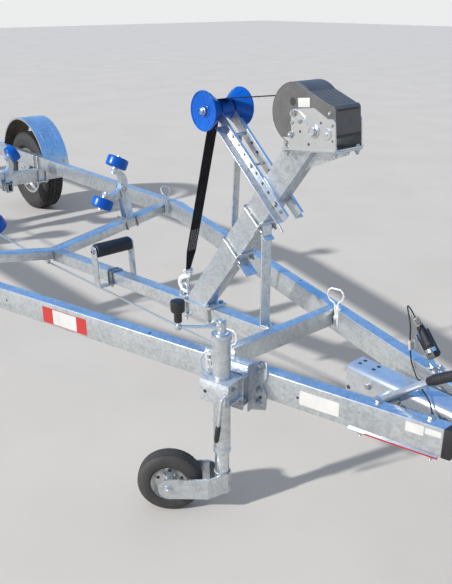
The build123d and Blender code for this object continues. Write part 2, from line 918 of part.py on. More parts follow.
def brake_linkage():
    """Rod from the overrun unit back to the axle, through a hanger under the dropped cross-member"""
    y = brake_rod_y
    x0 = axle_x + axle_size / 2
    x1 = housing_rear + brake_rod_reach
    z1 = brake_rod_z + brake_rod_rise
    hang_x = vee_stations["front"]
    line = rod((x0 + 6, y, brake_rod_z + 16), (hang_x, y, brake_rod_z), brake_rod_radius)
    line += rod((hang_x, y, brake_rod_z), (x1, y, z1), brake_rod_radius)
    hanger = span(hang_x - 12, hang_x + 12, y - 8, y + 8, brake_rod_z - 8, vee_top(y + 8) - vee_height)
    eye = span(x1 - 16, x1 + 16, y - 8, y + 8, z1 - 14, rail_bottom - flange_sheet)
    tab = span(x0, x0 + 12, y - 16, y + 16, brake_rod_z, wheel_radius + axle_size / 2)
    return line + hanger + eye + tab


jockey_y = -rail_edge(jockey_x, rail_width / 2 + jockey_out)
jockey_back = Vector(cos(jockey_heading), sin(jockey_heading), 0)
jockey_side = Vector(-sin(jockey_heading), cos(jockey_heading), 0)
jockey_hub = Vector(jockey_x, jockey_y, jockey_radius) + jockey_back * jockey_trail
crank_end = Vector(jockey_x, jockey_y, leg_top + crank_rise) + jockey_back * crank_length


def upright_rod(x, y, z0, z1, radius):
    return Pos(x, y, (z0 + z1) / 2) * Cylinder(radius, z1 - z0)


def jockey_leg():
    """Outer tube with its cap, crank and the crank's pin"""
    tube = upright_rod(jockey_x, jockey_y, leg_bottom, leg_top, leg_radius)
    tube -= upright_rod(jockey_x, jockey_y, leg_bottom, leg_top - 20, stem_radius + pin_gap)
    tube += upright_rod(jockey_x, jockey_y, leg_top - 20, leg_top, leg_radius + 3)
    hub = upright_rod(jockey_x, jockey_y, leg_top, leg_top + 2 * crank_rise, 16)
    arm = rod((jockey_x, jockey_y, crank_end.Z), (crank_end.X, crank_end.Y, crank_end.Z), crank_radius)
    low = crank_end.Z - crank_radius - 2
    pin = upright_rod(crank_end.X, crank_end.Y, low, crank_end.Z + crank_pin_length, crank_pin_radius)
    return tube + hub + arm + pin


def jockey_grip():
    """Knob with a narrow neck and a domed head, on the crank's pin"""
    z0 = crank_end.Z + crank_radius + knob_gap
    neck_top = knob_neck_length
    r = knob_radius
    high = knob_neck_length + knob_height
    profile = [
        (0, 0),
        (knob_neck, 0),
        (knob_neck, neck_top - 6),
        (r - 5, neck_top),
        (r, neck_top + 6),
        (r, high - 14),
        (r - 4, high - 6),
        (r - 12, high - 1),
        (0, high),
    ]
    knob = turned(profile, (crank_end.X, crank_end.Y, z0), (0, 0, 1))
    return knob - upright_rod(crank_end.X, crank_end.Y, z0 - 1, crank_end.Z + crank_pin_length, crank_pin_radius)


def jockey_fork():
    """Stem welded into a bent strip that holds the wheel's axle"""
    z0 = jockey_radius - fork_height / 2
    stem = upright_rod(jockey_x, jockey_y, z0, leg_bottom + stem_overlap, stem_radius)
    frame = Plane(origin=(jockey_x, jockey_y, z0), x_dir=jockey_back, z_dir=(0, 0, 1))
    half = jockey_width / 2 + fork_clear
    tail = jockey_trail + fork_end

    def outline(grow):
        r = stem_radius + grow
        side = half + grow
        front = [(tail, side), (fork_bend, side), (0, r), (-0.7 * r, 0.72 * r), (-r, 0.2 * r)]
        return make_face(Polyline(*front, *[(x, -y) for x, y in reversed(front)], close=True))

    strip = extrude(frame * outline(fork_sheet), fork_height) - extrude(frame * outline(0), fork_height)
    reach = half + fork_sheet + 9
    round_half = fork_height / 2
    end = frame * span(tail - round_half, tail + 1, -reach, reach, -1, fork_height + 1)
    middle = jockey_hub + jockey_back * (fork_end - round_half)
    strip -= end - Plane(origin=middle, z_dir=jockey_side) * Cylinder(round_half, 3 * reach)
    pin = Plane(origin=jockey_hub, z_dir=jockey_side) * Cylinder(jockey_axle, 2 * reach)
    return stem + strip + pin


def jockey_tyre():
    half = jockey_width / 2
    r0 = jockey_rim_radius + seat
    right = [(r0, half - 6), (r0 + 14, half - 2), (jockey_radius - 18, half), (jockey_radius - 5, half - 8)]
    right.append((jockey_radius, half - 18))
    outline = right + [(r, -y) for r, y in reversed(right)]
    return turned(outline, jockey_hub, jockey_side)


def jockey_rim():
    half = jockey_width / 2 - 5
    r = jockey_rim_radius
    hub = jockey_width / 2 + fork_clear - 0.5
    right = [(jockey_axle + pin_gap, hub), (20, hub), (20, 12), (r - 14, 4), (r - 4, half - 6), (r, half)]
    outline = right + [(a, -b) for a, b in reversed(right)]
    return turned(outline, jockey_hub, jockey_side)


def jockey_bracket():
    """Clamp round the jockey leg, joined by an open channel to plates on the rail's outer face"""
    place = Pos(jockey_x, jockey_y, bracket_middle) * Rot(0, 0, degrees(rail_angle))
    high = bracket_height / 2
    half = bracket_half
    across = bracket_across
    out = jockey_out
    body = span(-half, half, -across, across, -high, high)
    for s in (-1, 1):
        x0, x1 = sorted((s * (half - bracket_pocket), s * (half + 1)))
        body -= span(x0, x1, -across + bracket_wall, across - bracket_plate, -high + bracket_wall, high - bracket_wall)
    body += span(-half, half, -across - bead_rise, -across, bead_z, bead_z + bead_height)
    body += span(-half, half, across - bracket_plate, across, link_low, high)
    for z in (link_top, link_low):
        body += span(-link_half, link_half, across - 1, out, z, z + bracket_wall)
    body += span(-100, link_half, out - bracket_plate, out, link_low, link_top)
    body += span(-147, -100, out - bracket_plate, out, -70, 56)
    outline = [(42, -129), (104, -112), (107, -50), (88, -20), (107, 15), (107, 73), (60, 60), (42, 48)]
    body += plate_xz(outline, out - bracket_plate, out)
    body += span(42, 42 + bracket_wall, out - 3 * bracket_plate, out, -129, 48)
    bore = upright_rod(jockey_x, jockey_y, 0, head_z, leg_radius + pin_gap)
    bend = (43, -across - 17, -6)
    lever = rod((50, -across + 2, 9), bend, clamp_lever_radius)
    lever += Pos(*bend) * Sphere(clamp_lever_radius)
    lever += rod(bend, (21, -across - 18, -170), clamp_lever_radius)
    return place * (body + lever) - bore


def cradle_base(row):
    """Foot point and lean of a left cradle's uprights, square to what carries them"""
    if row["x"] == vee_stations["front"]:
        lean = atan(vee_slope)
        drop = (row["z"] - vee_top(row["y"])) * cos(lean)
    else:
        lean = 0.0
        drop = row["z"] - (rail_bottom - stub_drop)
    return lean, drop


def cradle_stand(row):
    """Two flat uprights on a base plate, with the pin that the left rocker swings on"""
    lean, drop = cradle_base(row)
    place = Pos(row["x"], row["y"], row["z"]) * Rot(degrees(lean), 0, 0)
    gap = rocker_width / 2 + upright_gap
    half = min(upright_width / 2, drop - cradle_pin) if lean else stub_width / 2
    body = span(-vee_depth / 2, vee_depth / 2, -half - 5, half + 5, -drop, upright_sheet - drop)
    for s in (-1, 1):
        x0, x1 = sorted((s * gap, s * (gap + upright_sheet)))
        body += span(x0, x1, -half, half, -drop, 0)
        body += Pos((x0 + x1) / 2, 0, 0) * (Rot(0, 90, 0) * Cylinder(half, upright_sheet))
    pin = Rot(0, 90, 0) * Cylinder(cradle_pin, 2 * (gap + upright_sheet + 8))
    return place * (body + pin)


def rocker_plane(row):
    """Frame of a left rocker: local x inboard along its chord, local y away from the pivot"""
    chord = Vector(0, -cos(row["tilt"]), -sin(row["tilt"]))
    return Plane(origin=(row["x"], row["y"], row["z"]), x_dir=chord, z_dir=(-1, 0, 0))


def rocker(row):
    """Crescent that swings on its middle and holds a roller at each end"""
    h = cradle_drop
    top = h + rocker_end / 2
    outer = cradle_half_span - side_roller_width / 2 - 12
    inner = outer - rocker_end + 4
    outer_arc = ThreePointArc((-outer, top), (0, -rocker_back), (outer, top))
    inner_arc = ThreePointArc((inner, top), (0, rocker_front), (-inner, top))
    ends = Line((outer, top), (inner, top)) + Line((-inner, top), (-outer, top))
    plane = rocker_plane(row)
    body = extrude(plane * make_face(outer_arc + inner_arc + ends), rocker_width / 2, both=True)
    reach = cradle_half_span + side_roller_width / 2 + 8
    side = Plane(origin=plane.from_local_coords((0, h, 0)), z_dir=plane.x_dir)
    for s in (-1, 1):
        body += side * Pos(0, 0, s * (inner + reach - 8) / 2) * Cylinder(roller_pin, reach - inner + 8)
    bore = Plane(origin=plane.origin, z_dir=(1, 0, 0)) * Cylinder(cradle_pin + pin_gap, 2 * rocker_width)
    return body - bore


def side_roller(row, end):
    """A round-edged roller on one end of a left rocker"""
    half = side_roller_width / 2
    edge = side_roller_edge
    r = side_roller_radius
    right = [(roller_pin + pin_gap, half), (r - edge, half), (r - 0.3 * edge, half - 0.3 * edge), (r, half - edge)]
    outline = right + [(a, -b) for a, b in reversed(right)]
    plane = rocker_plane(row)
    centre = plane.from_local_coords((end * cradle_half_span, cradle_drop, 0))
    return turned(outline, centre, plane.x_dir)


def keel_frame(name, x):
    """Frame whose origin is the face that a keel bracket sits on"""
    if name == "front":
        return tilted(x, centre_top(x) - centre_height, atan(centre_slope))
    return tilted(x, rail_bottom if name == "middle" else rail_top, 0)


def keel_bracket(name, row):
    """Bent strap with a hole for the roller's pin in each side"""
    frame = keel_frame(name, row["x"])
    low = -keel_sheet if name == "front" else 0
    half = keel_strap / 2
    y = keel_half + 4
    body = span(-half, half, -y - keel_sheet, y + keel_sheet, low, low + keel_sheet)
    for s in (-1, 1):
        y0, y1 = sorted((s * y, s * (y + keel_sheet)))
        body += span(-half, half, y0, y1, low, row["rise"])
        body += Pos(0, (y0 + y1) / 2, row["rise"]) * (Rot(90, 0, 0) * Cylinder(half, keel_sheet))
    hole = Pos(0, 0, row["rise"]) * (Rot(90, 0, 0) * Cylinder(keel_pin + pin_gap, 4 * y))
    return frame * (body - hole)


def keel_roller(name, row):
    frame = keel_frame(name, row["x"])
    body = Cylinder(keel_radius, 2 * keel_half) + Cylinder(keel_pin, 2 * keel_half + 40)
    return frame * (Pos(0, 0, row["rise"]) * (Rot(90, 0, 0) * body))


def tie_down_rings():
    """Lashing rings on bars against the rails' inner faces"""
    body = None
    for x in (front_x + 19, vee_stations["front"] + 68):
        turn = degrees(rail_angle) if x > kink_x else 0
        y = rail_edge(x, -rail_width / 2)
        place = Pos(x, y, rail_top) * Rot(0, 0, -turn)
        piece = place * span(-16, 16, -6, 0, -80, 26)
        ring = place * (Pos(0, -3, 44) * (Rot(90, 0, 0) * Torus(ring_radius, ring_wire)))
        body = both(piece + ring) if body is None else body + both(piece + ring)
    return body


def light_board():
    """Folded sheet across the tail, on two bars from the rails' outer faces"""
    x0 = tail_x + lamp_depth
    high = rail_bottom + (rail_height + board_height) / 2
    low = high - board_height
    body = span(x0, x0 + board_sheet, -board_half, board_half, low, high)
    body += span(x0, x0 + board_lip, -board_half, board_half, high - board_sheet, high)
    body += span(x0, x0 + board_lip, -board_half, board_half, low, low + board_sheet)
    middle = (low + high) / 2
    bar = span(x0, rail_rear_x + 140, rail_outer_y, rail_outer_y + 6, middle - 20, middle + 20)
    return body + both(bar)


def lamps():
    middle = rail_bottom + rail_height / 2
    x1 = tail_x + lamp_depth
    return both(
        span(tail_x, x1, lamp_y - lamp_length / 2, lamp_y + lamp_length / 2, middle - lamp_height / 2, middle + lamp_height / 2)
    )


plug_axis = Vector(-cos(plug_rise), 0, sin(plug_rise))
plug_nose = Vector(plug_x, plug_y, plug_z)


def plug():
    """Round plug with a collar, a tapered body and a nut on its cable"""
    r = plug_radius
    profile = [
        (0, 0),
        (r - 4, 0),
        (r - 3, 3),
        (r - 3, 12),
        (r, 15),
        (r, 50),
        (r - 2, 54),
        (r - 4, 74),
        (plug_nut + 3, 118),
        (plug_nut, 122),
        (plug_nut, plug_length - 2),
        (plug_nut - 2, plug_length),
        (0, plug_length),
    ]
    return turned(profile, plug_nose, plug_axis)


def beside_plug(along, drop):
    """A point of the plug's XZ plane, along its axis and below it"""
    x = plug_x - along * cos(plug_rise) - drop * sin(plug_rise)
    return (x, plug_z + along * sin(plug_rise) - drop * cos(plug_rise))


def plug_holder():
    """Bent strip on the left rail's top, with a band round the plug's collar"""
    inner = plug_radius + seat
    outer = inner + band_sheet
    near = inner + holder_gap
    far = near + holder_sheet

    def meets(drop, height):
        """Where the strip's face comes down to a height"""
        return beside_plug((height - plug_z + drop * cos(plug_rise)) / sin(plug_rise), drop)

    foot_x = plug_x + holder_foot
    foot_top = rail_top + holder_sheet
    outline = [(foot_x, rail_top), (foot_x, foot_top), meets(near, foot_top), beside_plug(holder_reach, near)]
    outline += [beside_plug(holder_reach, far), meets(far, rail_top)]
    strip = plate_xz(outline, plug_y - holder_half, plug_y + holder_half)
    ring = [(inner, band_start), (outer, band_start), (outer, band_end), (inner, band_end)]
    return strip + turned(ring, plug_nose, plug_axis)


def plug_cable():
    """Cable from the plug over the housing to its gland, with the radii of its bends printed"""
    start = plug_nose + plug_axis * plug_length
    points = [start, start + plug_axis * cable_start] + [Vector(*p) for p in cable_route]
    radii = []
    for a, b, c in zip(points, points[1:], points[2:]):
        turn = radians((b - a).get_angle(c - b))
        radii.append(0.45 * min((b - a).length, (c - b).length) / tan(turn / 2))
    path = FilletPolyline(*points, radius=radii)
    print("cable radii", [round(r, 1) for r in radii], "length", round(path.length, 1))
    return sweep(Plane(origin=start, z_dir=plug_axis) * Circle(cable_radius), path)


def cable_gland():
    """Tapered rubber gland from the cable's end to the right rail's inner face"""
    tip = Vector(*cable_route[-1])
    run = (tip - Vector(*cable_route[-2])).normalized()
    cone = turned([(0, 0), (gland_tip, 0), (gland_radius, gland_length), (0, gland_length)], tip, run)
    wide = 4 * gland_length
    return cone - mirrored(rail_prism(rail_width / 2, rail_bottom, rail_top, tip.X - wide, tip.X + wide))


def build():
    rail = side_rail()
    save("side_rail_left", rail)
    save("side_rail_right", mirrored(rail))
    caps = rail_cap(rail_front_x, front_cap, cap_tongue) + rail_cap(rail_rear_x, -rear_cap, -cap_tongue)
    save("rail_caps", both(caps) + cable_gland())
    save("cross_members", cross_members())
    save("vee_members", vee_member(vee_stations["front"]) + vee_member(vee_stations["rear"]))
    save("centre_rail", centre_rail())
    save("carrier_beam", carrier_beam())
    save("axle", axle())
    for name, side in (("left", 1), ("right", -1)):
        save(f"rim_{name}", rim(side))
        save(f"tyre_{name}", tyre(side))
    guard = mudguard()
    save("mudguard_left", guard)
    save("mudguard_right", mirrored(guard))
    save("guard_feet", guard_feet())
    save("winch_post", winch_post())
    save("front_brace", front_brace())
    save("arm_stay", arm_stay())
    save("roller_arms", both(roller_arm()))
    save("bow_roller", bow_roller())
    save("winch_frame", winch_frame())
    save("winch_cover", winch_cover())
    save("winch_strap", winch_strap())
    save("strap_hook", strap_hook())
    save("overrun_housing", overrun_housing())
    save("draw_tube", draw_tube())
    save("bellows", bellows())
    save("coupling_head", coupling_head())
    save("handbrake_lever", handbrake_lever())
    save("handbrake_grip", handbrake_grip())
    save("brake_linkage", brake_linkage())
    save("jockey_leg", jockey_leg())
    save("jockey_grip", jockey_grip())
    save("jockey_fork", jockey_fork())
    save("jockey_tyre", jockey_tyre())
    save("jockey_rim", jockey_rim())
    save("jockey_bracket", jockey_bracket())
    stands = None
    for name, row in cradles.items():
        stand = both(cradle_stand(row))
        stands = stand if stands is None else stands + stand
        for side, flip in (("left", lambda s: s), ("right", mirrored)):
            save(f"rocker_{name}_{side}", flip(rocker(row)))
            save(f"roller_{name}_{side}_outer", flip(side_roller(row, -1)))
            save(f"roller_{name}_{side}_inner", flip(side_roller(row, 1)))
    save("cradle_stands", stands)
    brackets = None
    for name, row in keel_rows.items():
        piece = keel_bracket(name, row)
        brackets = piece if brackets is None else brackets + piece
        save(f"keel_roller_{name}", keel_roller(name, row))
    save("keel_brackets", brackets)
    save("tie_down_rings", tie_down_rings())
    save("light_board", light_board())
    save("lamps", lamps())
    save("plug", plug())
    save("plug_holder", plug_holder())
    save("plug_cable", plug_cable())


build()
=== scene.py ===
import json
from math import asin, atan, atan2, cos, pi, radians, sin, tan

import bmesh
import bpy
from mathutils import Matrix, Vector, noise


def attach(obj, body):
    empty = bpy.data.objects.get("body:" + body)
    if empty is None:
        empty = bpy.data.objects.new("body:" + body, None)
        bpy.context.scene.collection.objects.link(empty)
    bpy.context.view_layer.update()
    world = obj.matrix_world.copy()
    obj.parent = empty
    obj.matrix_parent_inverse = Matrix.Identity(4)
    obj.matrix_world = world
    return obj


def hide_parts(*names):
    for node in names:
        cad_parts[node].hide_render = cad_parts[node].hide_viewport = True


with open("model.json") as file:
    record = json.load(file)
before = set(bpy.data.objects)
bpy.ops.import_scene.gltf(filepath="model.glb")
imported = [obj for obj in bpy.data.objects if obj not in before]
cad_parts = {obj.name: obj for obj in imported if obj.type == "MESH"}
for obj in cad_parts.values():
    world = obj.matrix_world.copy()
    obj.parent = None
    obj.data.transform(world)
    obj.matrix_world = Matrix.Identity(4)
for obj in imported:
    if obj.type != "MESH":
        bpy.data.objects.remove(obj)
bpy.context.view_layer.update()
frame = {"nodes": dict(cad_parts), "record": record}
nodes = frame["nodes"]
record = frame["record"]
slots = {row["node"]: row["material_slot"] for row in record["subparts"]}
bodies = {node: body for body, members in record["behaviour"]["bodies"].items() for node in members}

# Sizes shared with the solids, in millimetres
front_x = 2250.0
rail_top = 520.0
rail_bottom = 420.0
rail_half_spacing = 784.0
rail_end_half_spacing = 102.0
rail_front_x = front_x + 790.0
kink_x = 555.0
rail_slope = (rail_half_spacing - rail_end_half_spacing) / (rail_front_x - kink_x)
rail_angle = atan(rail_slope)
rail_half = 25.0
cable_bends = [
    (454.08, 178.0, 150.91), (432.23, 178.0, 176.95), (432.6, 152.5, 199.5), (458.7, 122.5, 195.3),
    (478.0, 119.7, 144.0), (473.0, 129.7, 95.0), (470.0, 144.0, 42.0), (473.7, 153.5, -7.0),
    (497.5, 146.0, -34.0), (531.0, 110.0, -30.0), (568.0, 71.0, -8.0), (600.0, 22.0, 28.0),
    (635.0, -23.0, 26.0), (665.0, -46.0, 29.0), (694.0, -56.0, 12.0), (714.0, -77.5, -1.5),
]
cable_route = [(front_x + x, y, rail_top + z) for x, y, z in cable_bends]
cable_radius = 2.5
SIDES = (-1, 1)
NEAR = (0, -1, 0)
FAR = (0, 1, 0)
UP = (0, 0, 1)
DOWN = (0, 0, -1)
FORWARD = (1, 0, 0)


def in_scene(name, data):
    """A new object in the scene"""
    made = bpy.data.objects.new(name, data)
    bpy.context.scene.collection.objects.link(made)
    return made


# The camera stands where the photograph was taken
def make_camera():
    data = bpy.data.cameras.new("camera")
    data.sensor_fit = "VERTICAL"
    data.sensor_height = 36.0
    data.lens = 43.32
    data.clip_start = 0.05
    data.clip_end = 100.0
    camera = in_scene("camera", data)
    yaw, pitch, roll = 0.8603025, -0.3963959, -0.0013047
    turn = Matrix.Rotation(yaw, 4, "Z") @ Matrix.Rotation(pi / 2 + pitch, 4, "X")
    turn = turn @ Matrix.Rotation(roll, 4, "Z")
    camera.matrix_world = Matrix.Translation((3.9434, -1.7475, 1.6861)) @ turn
    bpy.context.scene.camera = camera


make_camera()


# The plug's cable, from its gland on the right rail to the plug
def make_cable(pieces):
    data = bpy.data.curves.new("plug_lead", "CURVE")
    data.dimensions = "3D"
    data.bevel_depth = 1.0
    data.bevel_resolution = 4
    data.resolution_u = 12
    data.use_fill_caps = True
    line = data.splines.new("NURBS")
    line.points.add(len(cable_route) - 1)
    for point, place in zip(line.points, reversed(cable_route)):
        point.co = (*[value / 1000 for value in place], 1.0)
        point.radius = cable_radius / 1000
    line.order_u = 3
    line.use_endpoint_u = True
    cable = in_scene("plug_lead", data)
    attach(cable, "root")
    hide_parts("plug_cable")
    data.materials.append(rubber)


# Materials
def feed(tree, socket, value):
    """Links an output to a socket, or sets the socket's value"""
    if hasattr(value, "is_linked"):
        tree.links.new(value, socket)
    else:
        socket.default_value = value


def add_node(tree, kind, **inputs):
    """A node with its inputs fed, an underscore in their names standing for a space"""
    made = tree.nodes.new("ShaderNode" + kind)
    for key, value in inputs.items():
        feed(tree, made.inputs[key.replace("_", " ")], value)
    return made


def new_material(name):
    material = bpy.data.materials.new(name)
    material.use_nodes = True
    tree = material.node_tree
    tree.nodes.clear()
    return material, tree, add_node(tree, "TexCoord").outputs["Object"]


def finish(material, colour, rough, relief=None, **sockets):
    """Joins colour, roughness, relief (its height, strength and distance) and single values in a shader"""
    tree = material.node_tree
    if relief:
        height, strength, distance = relief
        bump = add_node(tree, "Bump", Strength=strength, Distance=distance, Height=height)
        sockets["Normal"] = bump.outputs["Normal"]
    shader = add_node(tree, "BsdfPrincipled", Base_Color=colour, Roughness=rough, **sockets)
    add_node(tree, "OutputMaterial", Surface=shader.outputs["BSDF"])
    return material


def noise_node(tree, coord, scale, detail=4.0, rough=0.5, stretch=None):
    if stretch:
        coord = add_node(tree, "Mapping", Scale=stretch, Vector=coord).outputs["Vector"]
    made = add_node(tree, "TexNoise", Scale=scale, Detail=detail, Roughness=rough, Vector=coord)
    return made.outputs["Fac"]


def ramp_node(tree, factor, *stops):
    made = add_node(tree, "ValToRGB", Fac=factor)
    ramp = made.color_ramp
    while len(ramp.elements) < len(stops):
        ramp.elements.new(0.5)
    for element, (place, colour) in zip(ramp.elements, stops):
        element.position = place
        element.color = (*colour, 1.0)
    return made.outputs["Color"]


def math_node(tree, operation, a, b):
    made = tree.nodes.new("ShaderNodeMath")
    made.operation = operation
    feed(tree, made.inputs[0], a)
    feed(tree, made.inputs[1], b)
    return made.outputs[0]


def weighted(tree, *parts):
    """The sum of outputs, each times its share"""
    total = None
    for value, share in parts:
        part = math_node(tree, "MULTIPLY", value, share)
        total = part if total is None else math_node(tree, "ADD", total, part)
    return total


def range_node(tree, value, low, high, out_low, out_high):
    limits = {"From_Min": low, "From_Max": high, "To_Min": out_low, "To_Max": out_high}
    return add_node(tree, "MapRange", Value=value, **limits).outputs["Result"]


def crystal_tone(tree, coord, scale):
    """A random tone for each crystal of the zinc"""
    cells = add_node(tree, "TexVoronoi", Scale=scale, Vector=coord)
    return add_node(tree, "SeparateColor", Color=cells.outputs["Color"]).outputs["Red"]


def galvanised(name, dark, light, metallic, rough, spangle=110.0, crystals=0.24):
    """Hot-dip zinc: crystal spangle, cloudy patches, runs and fine grain"""
    material, tree, coord = new_material(name)
    warp = noise_node(tree, coord, 40.0, 2.0)
    small = crystal_tone(tree, coord, spangle)
    large = crystal_tone(tree, coord, spangle * 0.36)
    clouds = noise_node(tree, coord, 7.0, 6.0, 0.66)
    runs = noise_node(tree, coord, 10.0, 3.0, 0.5, (2.4, 2.4, 0.35))
    fine = noise_node(tree, coord, 320.0, 3.0, 0.6)
    spangles = ((small, crystals), (large, crystals * 0.55))
    tone = weighted(tree, *spangles, (clouds, 0.60), (runs, 0.20), (warp, 0.12))
    tone = math_node(tree, "SUBTRACT", tone, 0.14)
    middle = tuple((a + b) / 2 for a, b in zip(dark, light))
    colour = ramp_node(tree, tone, (0.22, dark), (0.46, middle), (0.78, light))
    height = weighted(tree, (fine, 0.5), (runs, 1.0), (small, 0.16))
    gloss = range_node(tree, tone, 0.2, 0.8, rough[1], rough[0])
    return finish(material, colour, gloss, (height, 0.3, 0.0010), Metallic=metallic)


def mottled(name, tones, stops, patches, rough, grain, relief, **sockets):
    """Patches of two tones and two roughnesses over a fine grain"""
    material, tree, coord = new_material(name)
    spread = noise_node(tree, coord, *patches)
    fine = noise_node(tree, coord, grain, 2.0)
    colour = ramp_node(tree, spread, *zip(stops, tones))
    return finish(material, colour, range_node(tree, spread, 0.3, 0.7, *rough), (fine, *relief), **sockets)


def zinc_plate(name, colour, shade, metallic=0.9, rough=(0.24, 0.42)):
    """Bright plated steel or metallic paint with faint patches and handling marks"""
    patches = (22.0, 4.0, 0.6)
    return mottled(
        name, (shade, colour), (0.3, 0.68), patches, rough[::-1], 420.0, (0.12, 0.0004), Metallic=metallic
    )


def plastic(name, colour, shade, rough=(0.35, 0.5), grain=500.0, depth=0.12, **sockets):
    """Moulded plastic or rubber with a fine grain and slight scuffs"""
    scuffs = (14.0, 5.0, 0.65)
    return mottled(name, (shade, colour), (0.32, 0.7), scuffs, rough, grain, (depth, 0.0006), **sockets)


def dusty_rubber(name, rubber_tone, dust, amount):
    """Black rubber under a film of road dust"""
    material, tree, coord = new_material(name)
    film = noise_node(tree, coord, 11.0, 6.0, 0.7)
    fine = noise_node(tree, coord, 180.0, 3.0, 0.6)
    factor = math_node(tree, "MULTIPLY", range_node(tree, film, 0.3, 0.75, 0.35, 1.0), amount)
    factor = math_node(tree, "MULTIPLY", factor, range_node(tree, fine, 0.3, 0.7, 0.75, 1.15))
    mix = tree.nodes.new("ShaderNodeMix")
    mix.data_type = "RGBA"
    for i, value in ((0, factor), (6, (*rubber_tone, 1.0)), (7, (*dust, 1.0))):
        feed(tree, mix.inputs[i], value)
    return finish(material, mix.outputs[2], 0.72, (fine, 0.18, 0.0006))


def webbing(name):
    """Woven polyester: ribs across the strap under a diagonal twill"""
    material, tree, coord = new_material(name)
    ribs = add_node(tree, "TexWave", Scale=160.0, Distortion=0.6, Detail=1.0, Vector=coord)
    ribs.bands_direction = "Z"
    cords = add_node(tree, "TexWave", Scale=120.0, Vector=coord)
    cords.bands_direction = "Y"
    fade = noise_node(tree, coord, 16.0, 4.0, 0.6)
    height = math_node(tree, "ADD", ribs.outputs["Fac"], cords.outputs["Fac"])
    colour = ramp_node(tree, fade, (0.3, (0.012, 0.012, 0.013)), (0.75, (0.034, 0.034, 0.037)))
    return finish(material, colour, 0.85, (height, 0.5, 0.0006), Specular_IOR_Level=0.12)


zinc = galvanised("hot_dip_zinc", (0.41, 0.445, 0.465), (0.75, 0.79, 0.81), 0.84, (0.26, 0.42))
# A darker, rougher copy of the zinc for the jockey bracket: its darker colour is painted shade of the recess
# round the bracket, and its roughness tames the key light's highlight
zinc_bracket_shaded = galvanised("hot_dip_zinc_bracket", (0.38, 0.40, 0.42), (0.68, 0.71, 0.73), 0.6, (0.5, 0.64))
zinc_dull = galvanised("hot_dip_zinc_dull", (0.27, 0.275, 0.27), (0.50, 0.515, 0.52), 0.5, (0.45, 0.66))
zinc_bright = galvanised(
    "hot_dip_zinc_bright", (0.50, 0.53, 0.56), (0.76, 0.79, 0.815), 0.75, (0.24, 0.4), 120.0, 0.16
)
zinc_smooth = galvanised(
    "hot_dip_zinc_smooth", (0.44, 0.475, 0.50), (0.66, 0.70, 0.73), 0.82, (0.2, 0.34), 60.0, 0.10
)
plated = zinc_plate("plated_steel", (0.72, 0.72, 0.69), (0.55, 0.56, 0.55))
plated_bolt = zinc_plate("plated_fixings", (0.62, 0.61, 0.57), (0.36, 0.35, 0.33), 0.85, (0.3, 0.5))
ring_steel = zinc_plate("ring_steel", (0.86, 0.87, 0.87), (0.72, 0.73, 0.74), 0.35, (0.3, 0.45))
# Near-black steel, used only for discs of painted shade where holes and vents are
hole_shade_steel = zinc_plate("hole_shade_steel", (0.10, 0.095, 0.09), (0.045, 0.042, 0.04), 0.6, (0.4, 0.6))
wheel_paint = zinc_plate("silver_wheel_paint", (0.50, 0.51, 0.52), (0.34, 0.345, 0.35), 0.55, (0.32, 0.45))
rubber = plastic("black_rubber", (0.024, 0.024, 0.026), (0.012, 0.012, 0.013), (0.45, 0.62), 300.0, 0.2)
tyre_rubber = dusty_rubber("tyre_rubber", (0.013, 0.013, 0.014), (0.12, 0.11, 0.10), 0.3)
jockey_rubber = dusty_rubber("jockey_tyre_rubber", (0.015, 0.015, 0.016), (0.17, 0.163, 0.152), 0.34)
blue = plastic(
    "blue_polyurethane", (0.001, 0.115, 0.56), (0.001, 0.075, 0.44), (0.24, 0.36), 200.0, 0.05,
    Specular_IOR_Level=0.3,
)
blue_clear = plastic(
    "blue_polyurethane_clear", (0.001, 0.16, 0.72), (0.001, 0.11, 0.58), (0.08, 0.16), 160.0, 0.04,
    Transmission_Weight=0.35, Coat_Weight=0.5,
)
cover_plastic = plastic(
    "winch_cover_plastic", (0.125, 0.125, 0.128), (0.09, 0.09, 0.093), (0.42, 0.55), 900.0, 0.25
)
black_plastic = plastic("black_plastic", (0.022, 0.022, 0.023), (0.013, 0.013, 0.014), (0.3, 0.45))
red_lens = plastic("red_lens", (0.55, 0.012, 0.01), (0.42, 0.008, 0.008), (0.12, 0.2), 300.0, 0.03)
strap_weave = webbing("strap_weave")
grey_plastic = plastic("grey_plastic", (0.30, 0.30, 0.30), (0.2, 0.2, 0.2), (0.35, 0.5))
white_label = plastic("white_label", (0.66, 0.67, 0.67), (0.56, 0.57, 0.57), (0.35, 0.45), 600.0, 0.03)
red_label = plastic("red_label", (0.50, 0.035, 0.03), (0.42, 0.03, 0.028), (0.35, 0.45), 600.0, 0.03)
thread_white = plastic("white_thread", (0.75, 0.75, 0.73), (0.6, 0.6, 0.58), (0.6, 0.8), 900.0, 0.3)
red_paint = plastic("red_painted_steel", (0.42, 0.03, 0.025), (0.30, 0.022, 0.02), (0.4, 0.55), 300.0, 0.1)
amber_lens = plastic("amber_lens", (0.72, 0.22, 0.01), (0.6, 0.17, 0.008), (0.12, 0.2), 300.0, 0.03)
clear_lens = plastic("clear_lens", (0.70, 0.71, 0.72), (0.6, 0.61, 0.62), (0.1, 0.18), 300.0, 0.03)
mud_film = plastic("dried_mud", (0.17, 0.125, 0.085), (0.085, 0.062, 0.042), (0.75, 0.9), 120.0, 0.5)

# The slot of a piece that stands for no node, where it isn't galvanised
look_slots = {
    plated: "zinc_plated",
    plated_bolt: "zinc_plated",
    rubber: "black_rubber",
    black_plastic: "black_rubber",
    grey_plastic: "black_rubber",
    thread_white: "strap",
    blue_clear: "blue_roller",
}


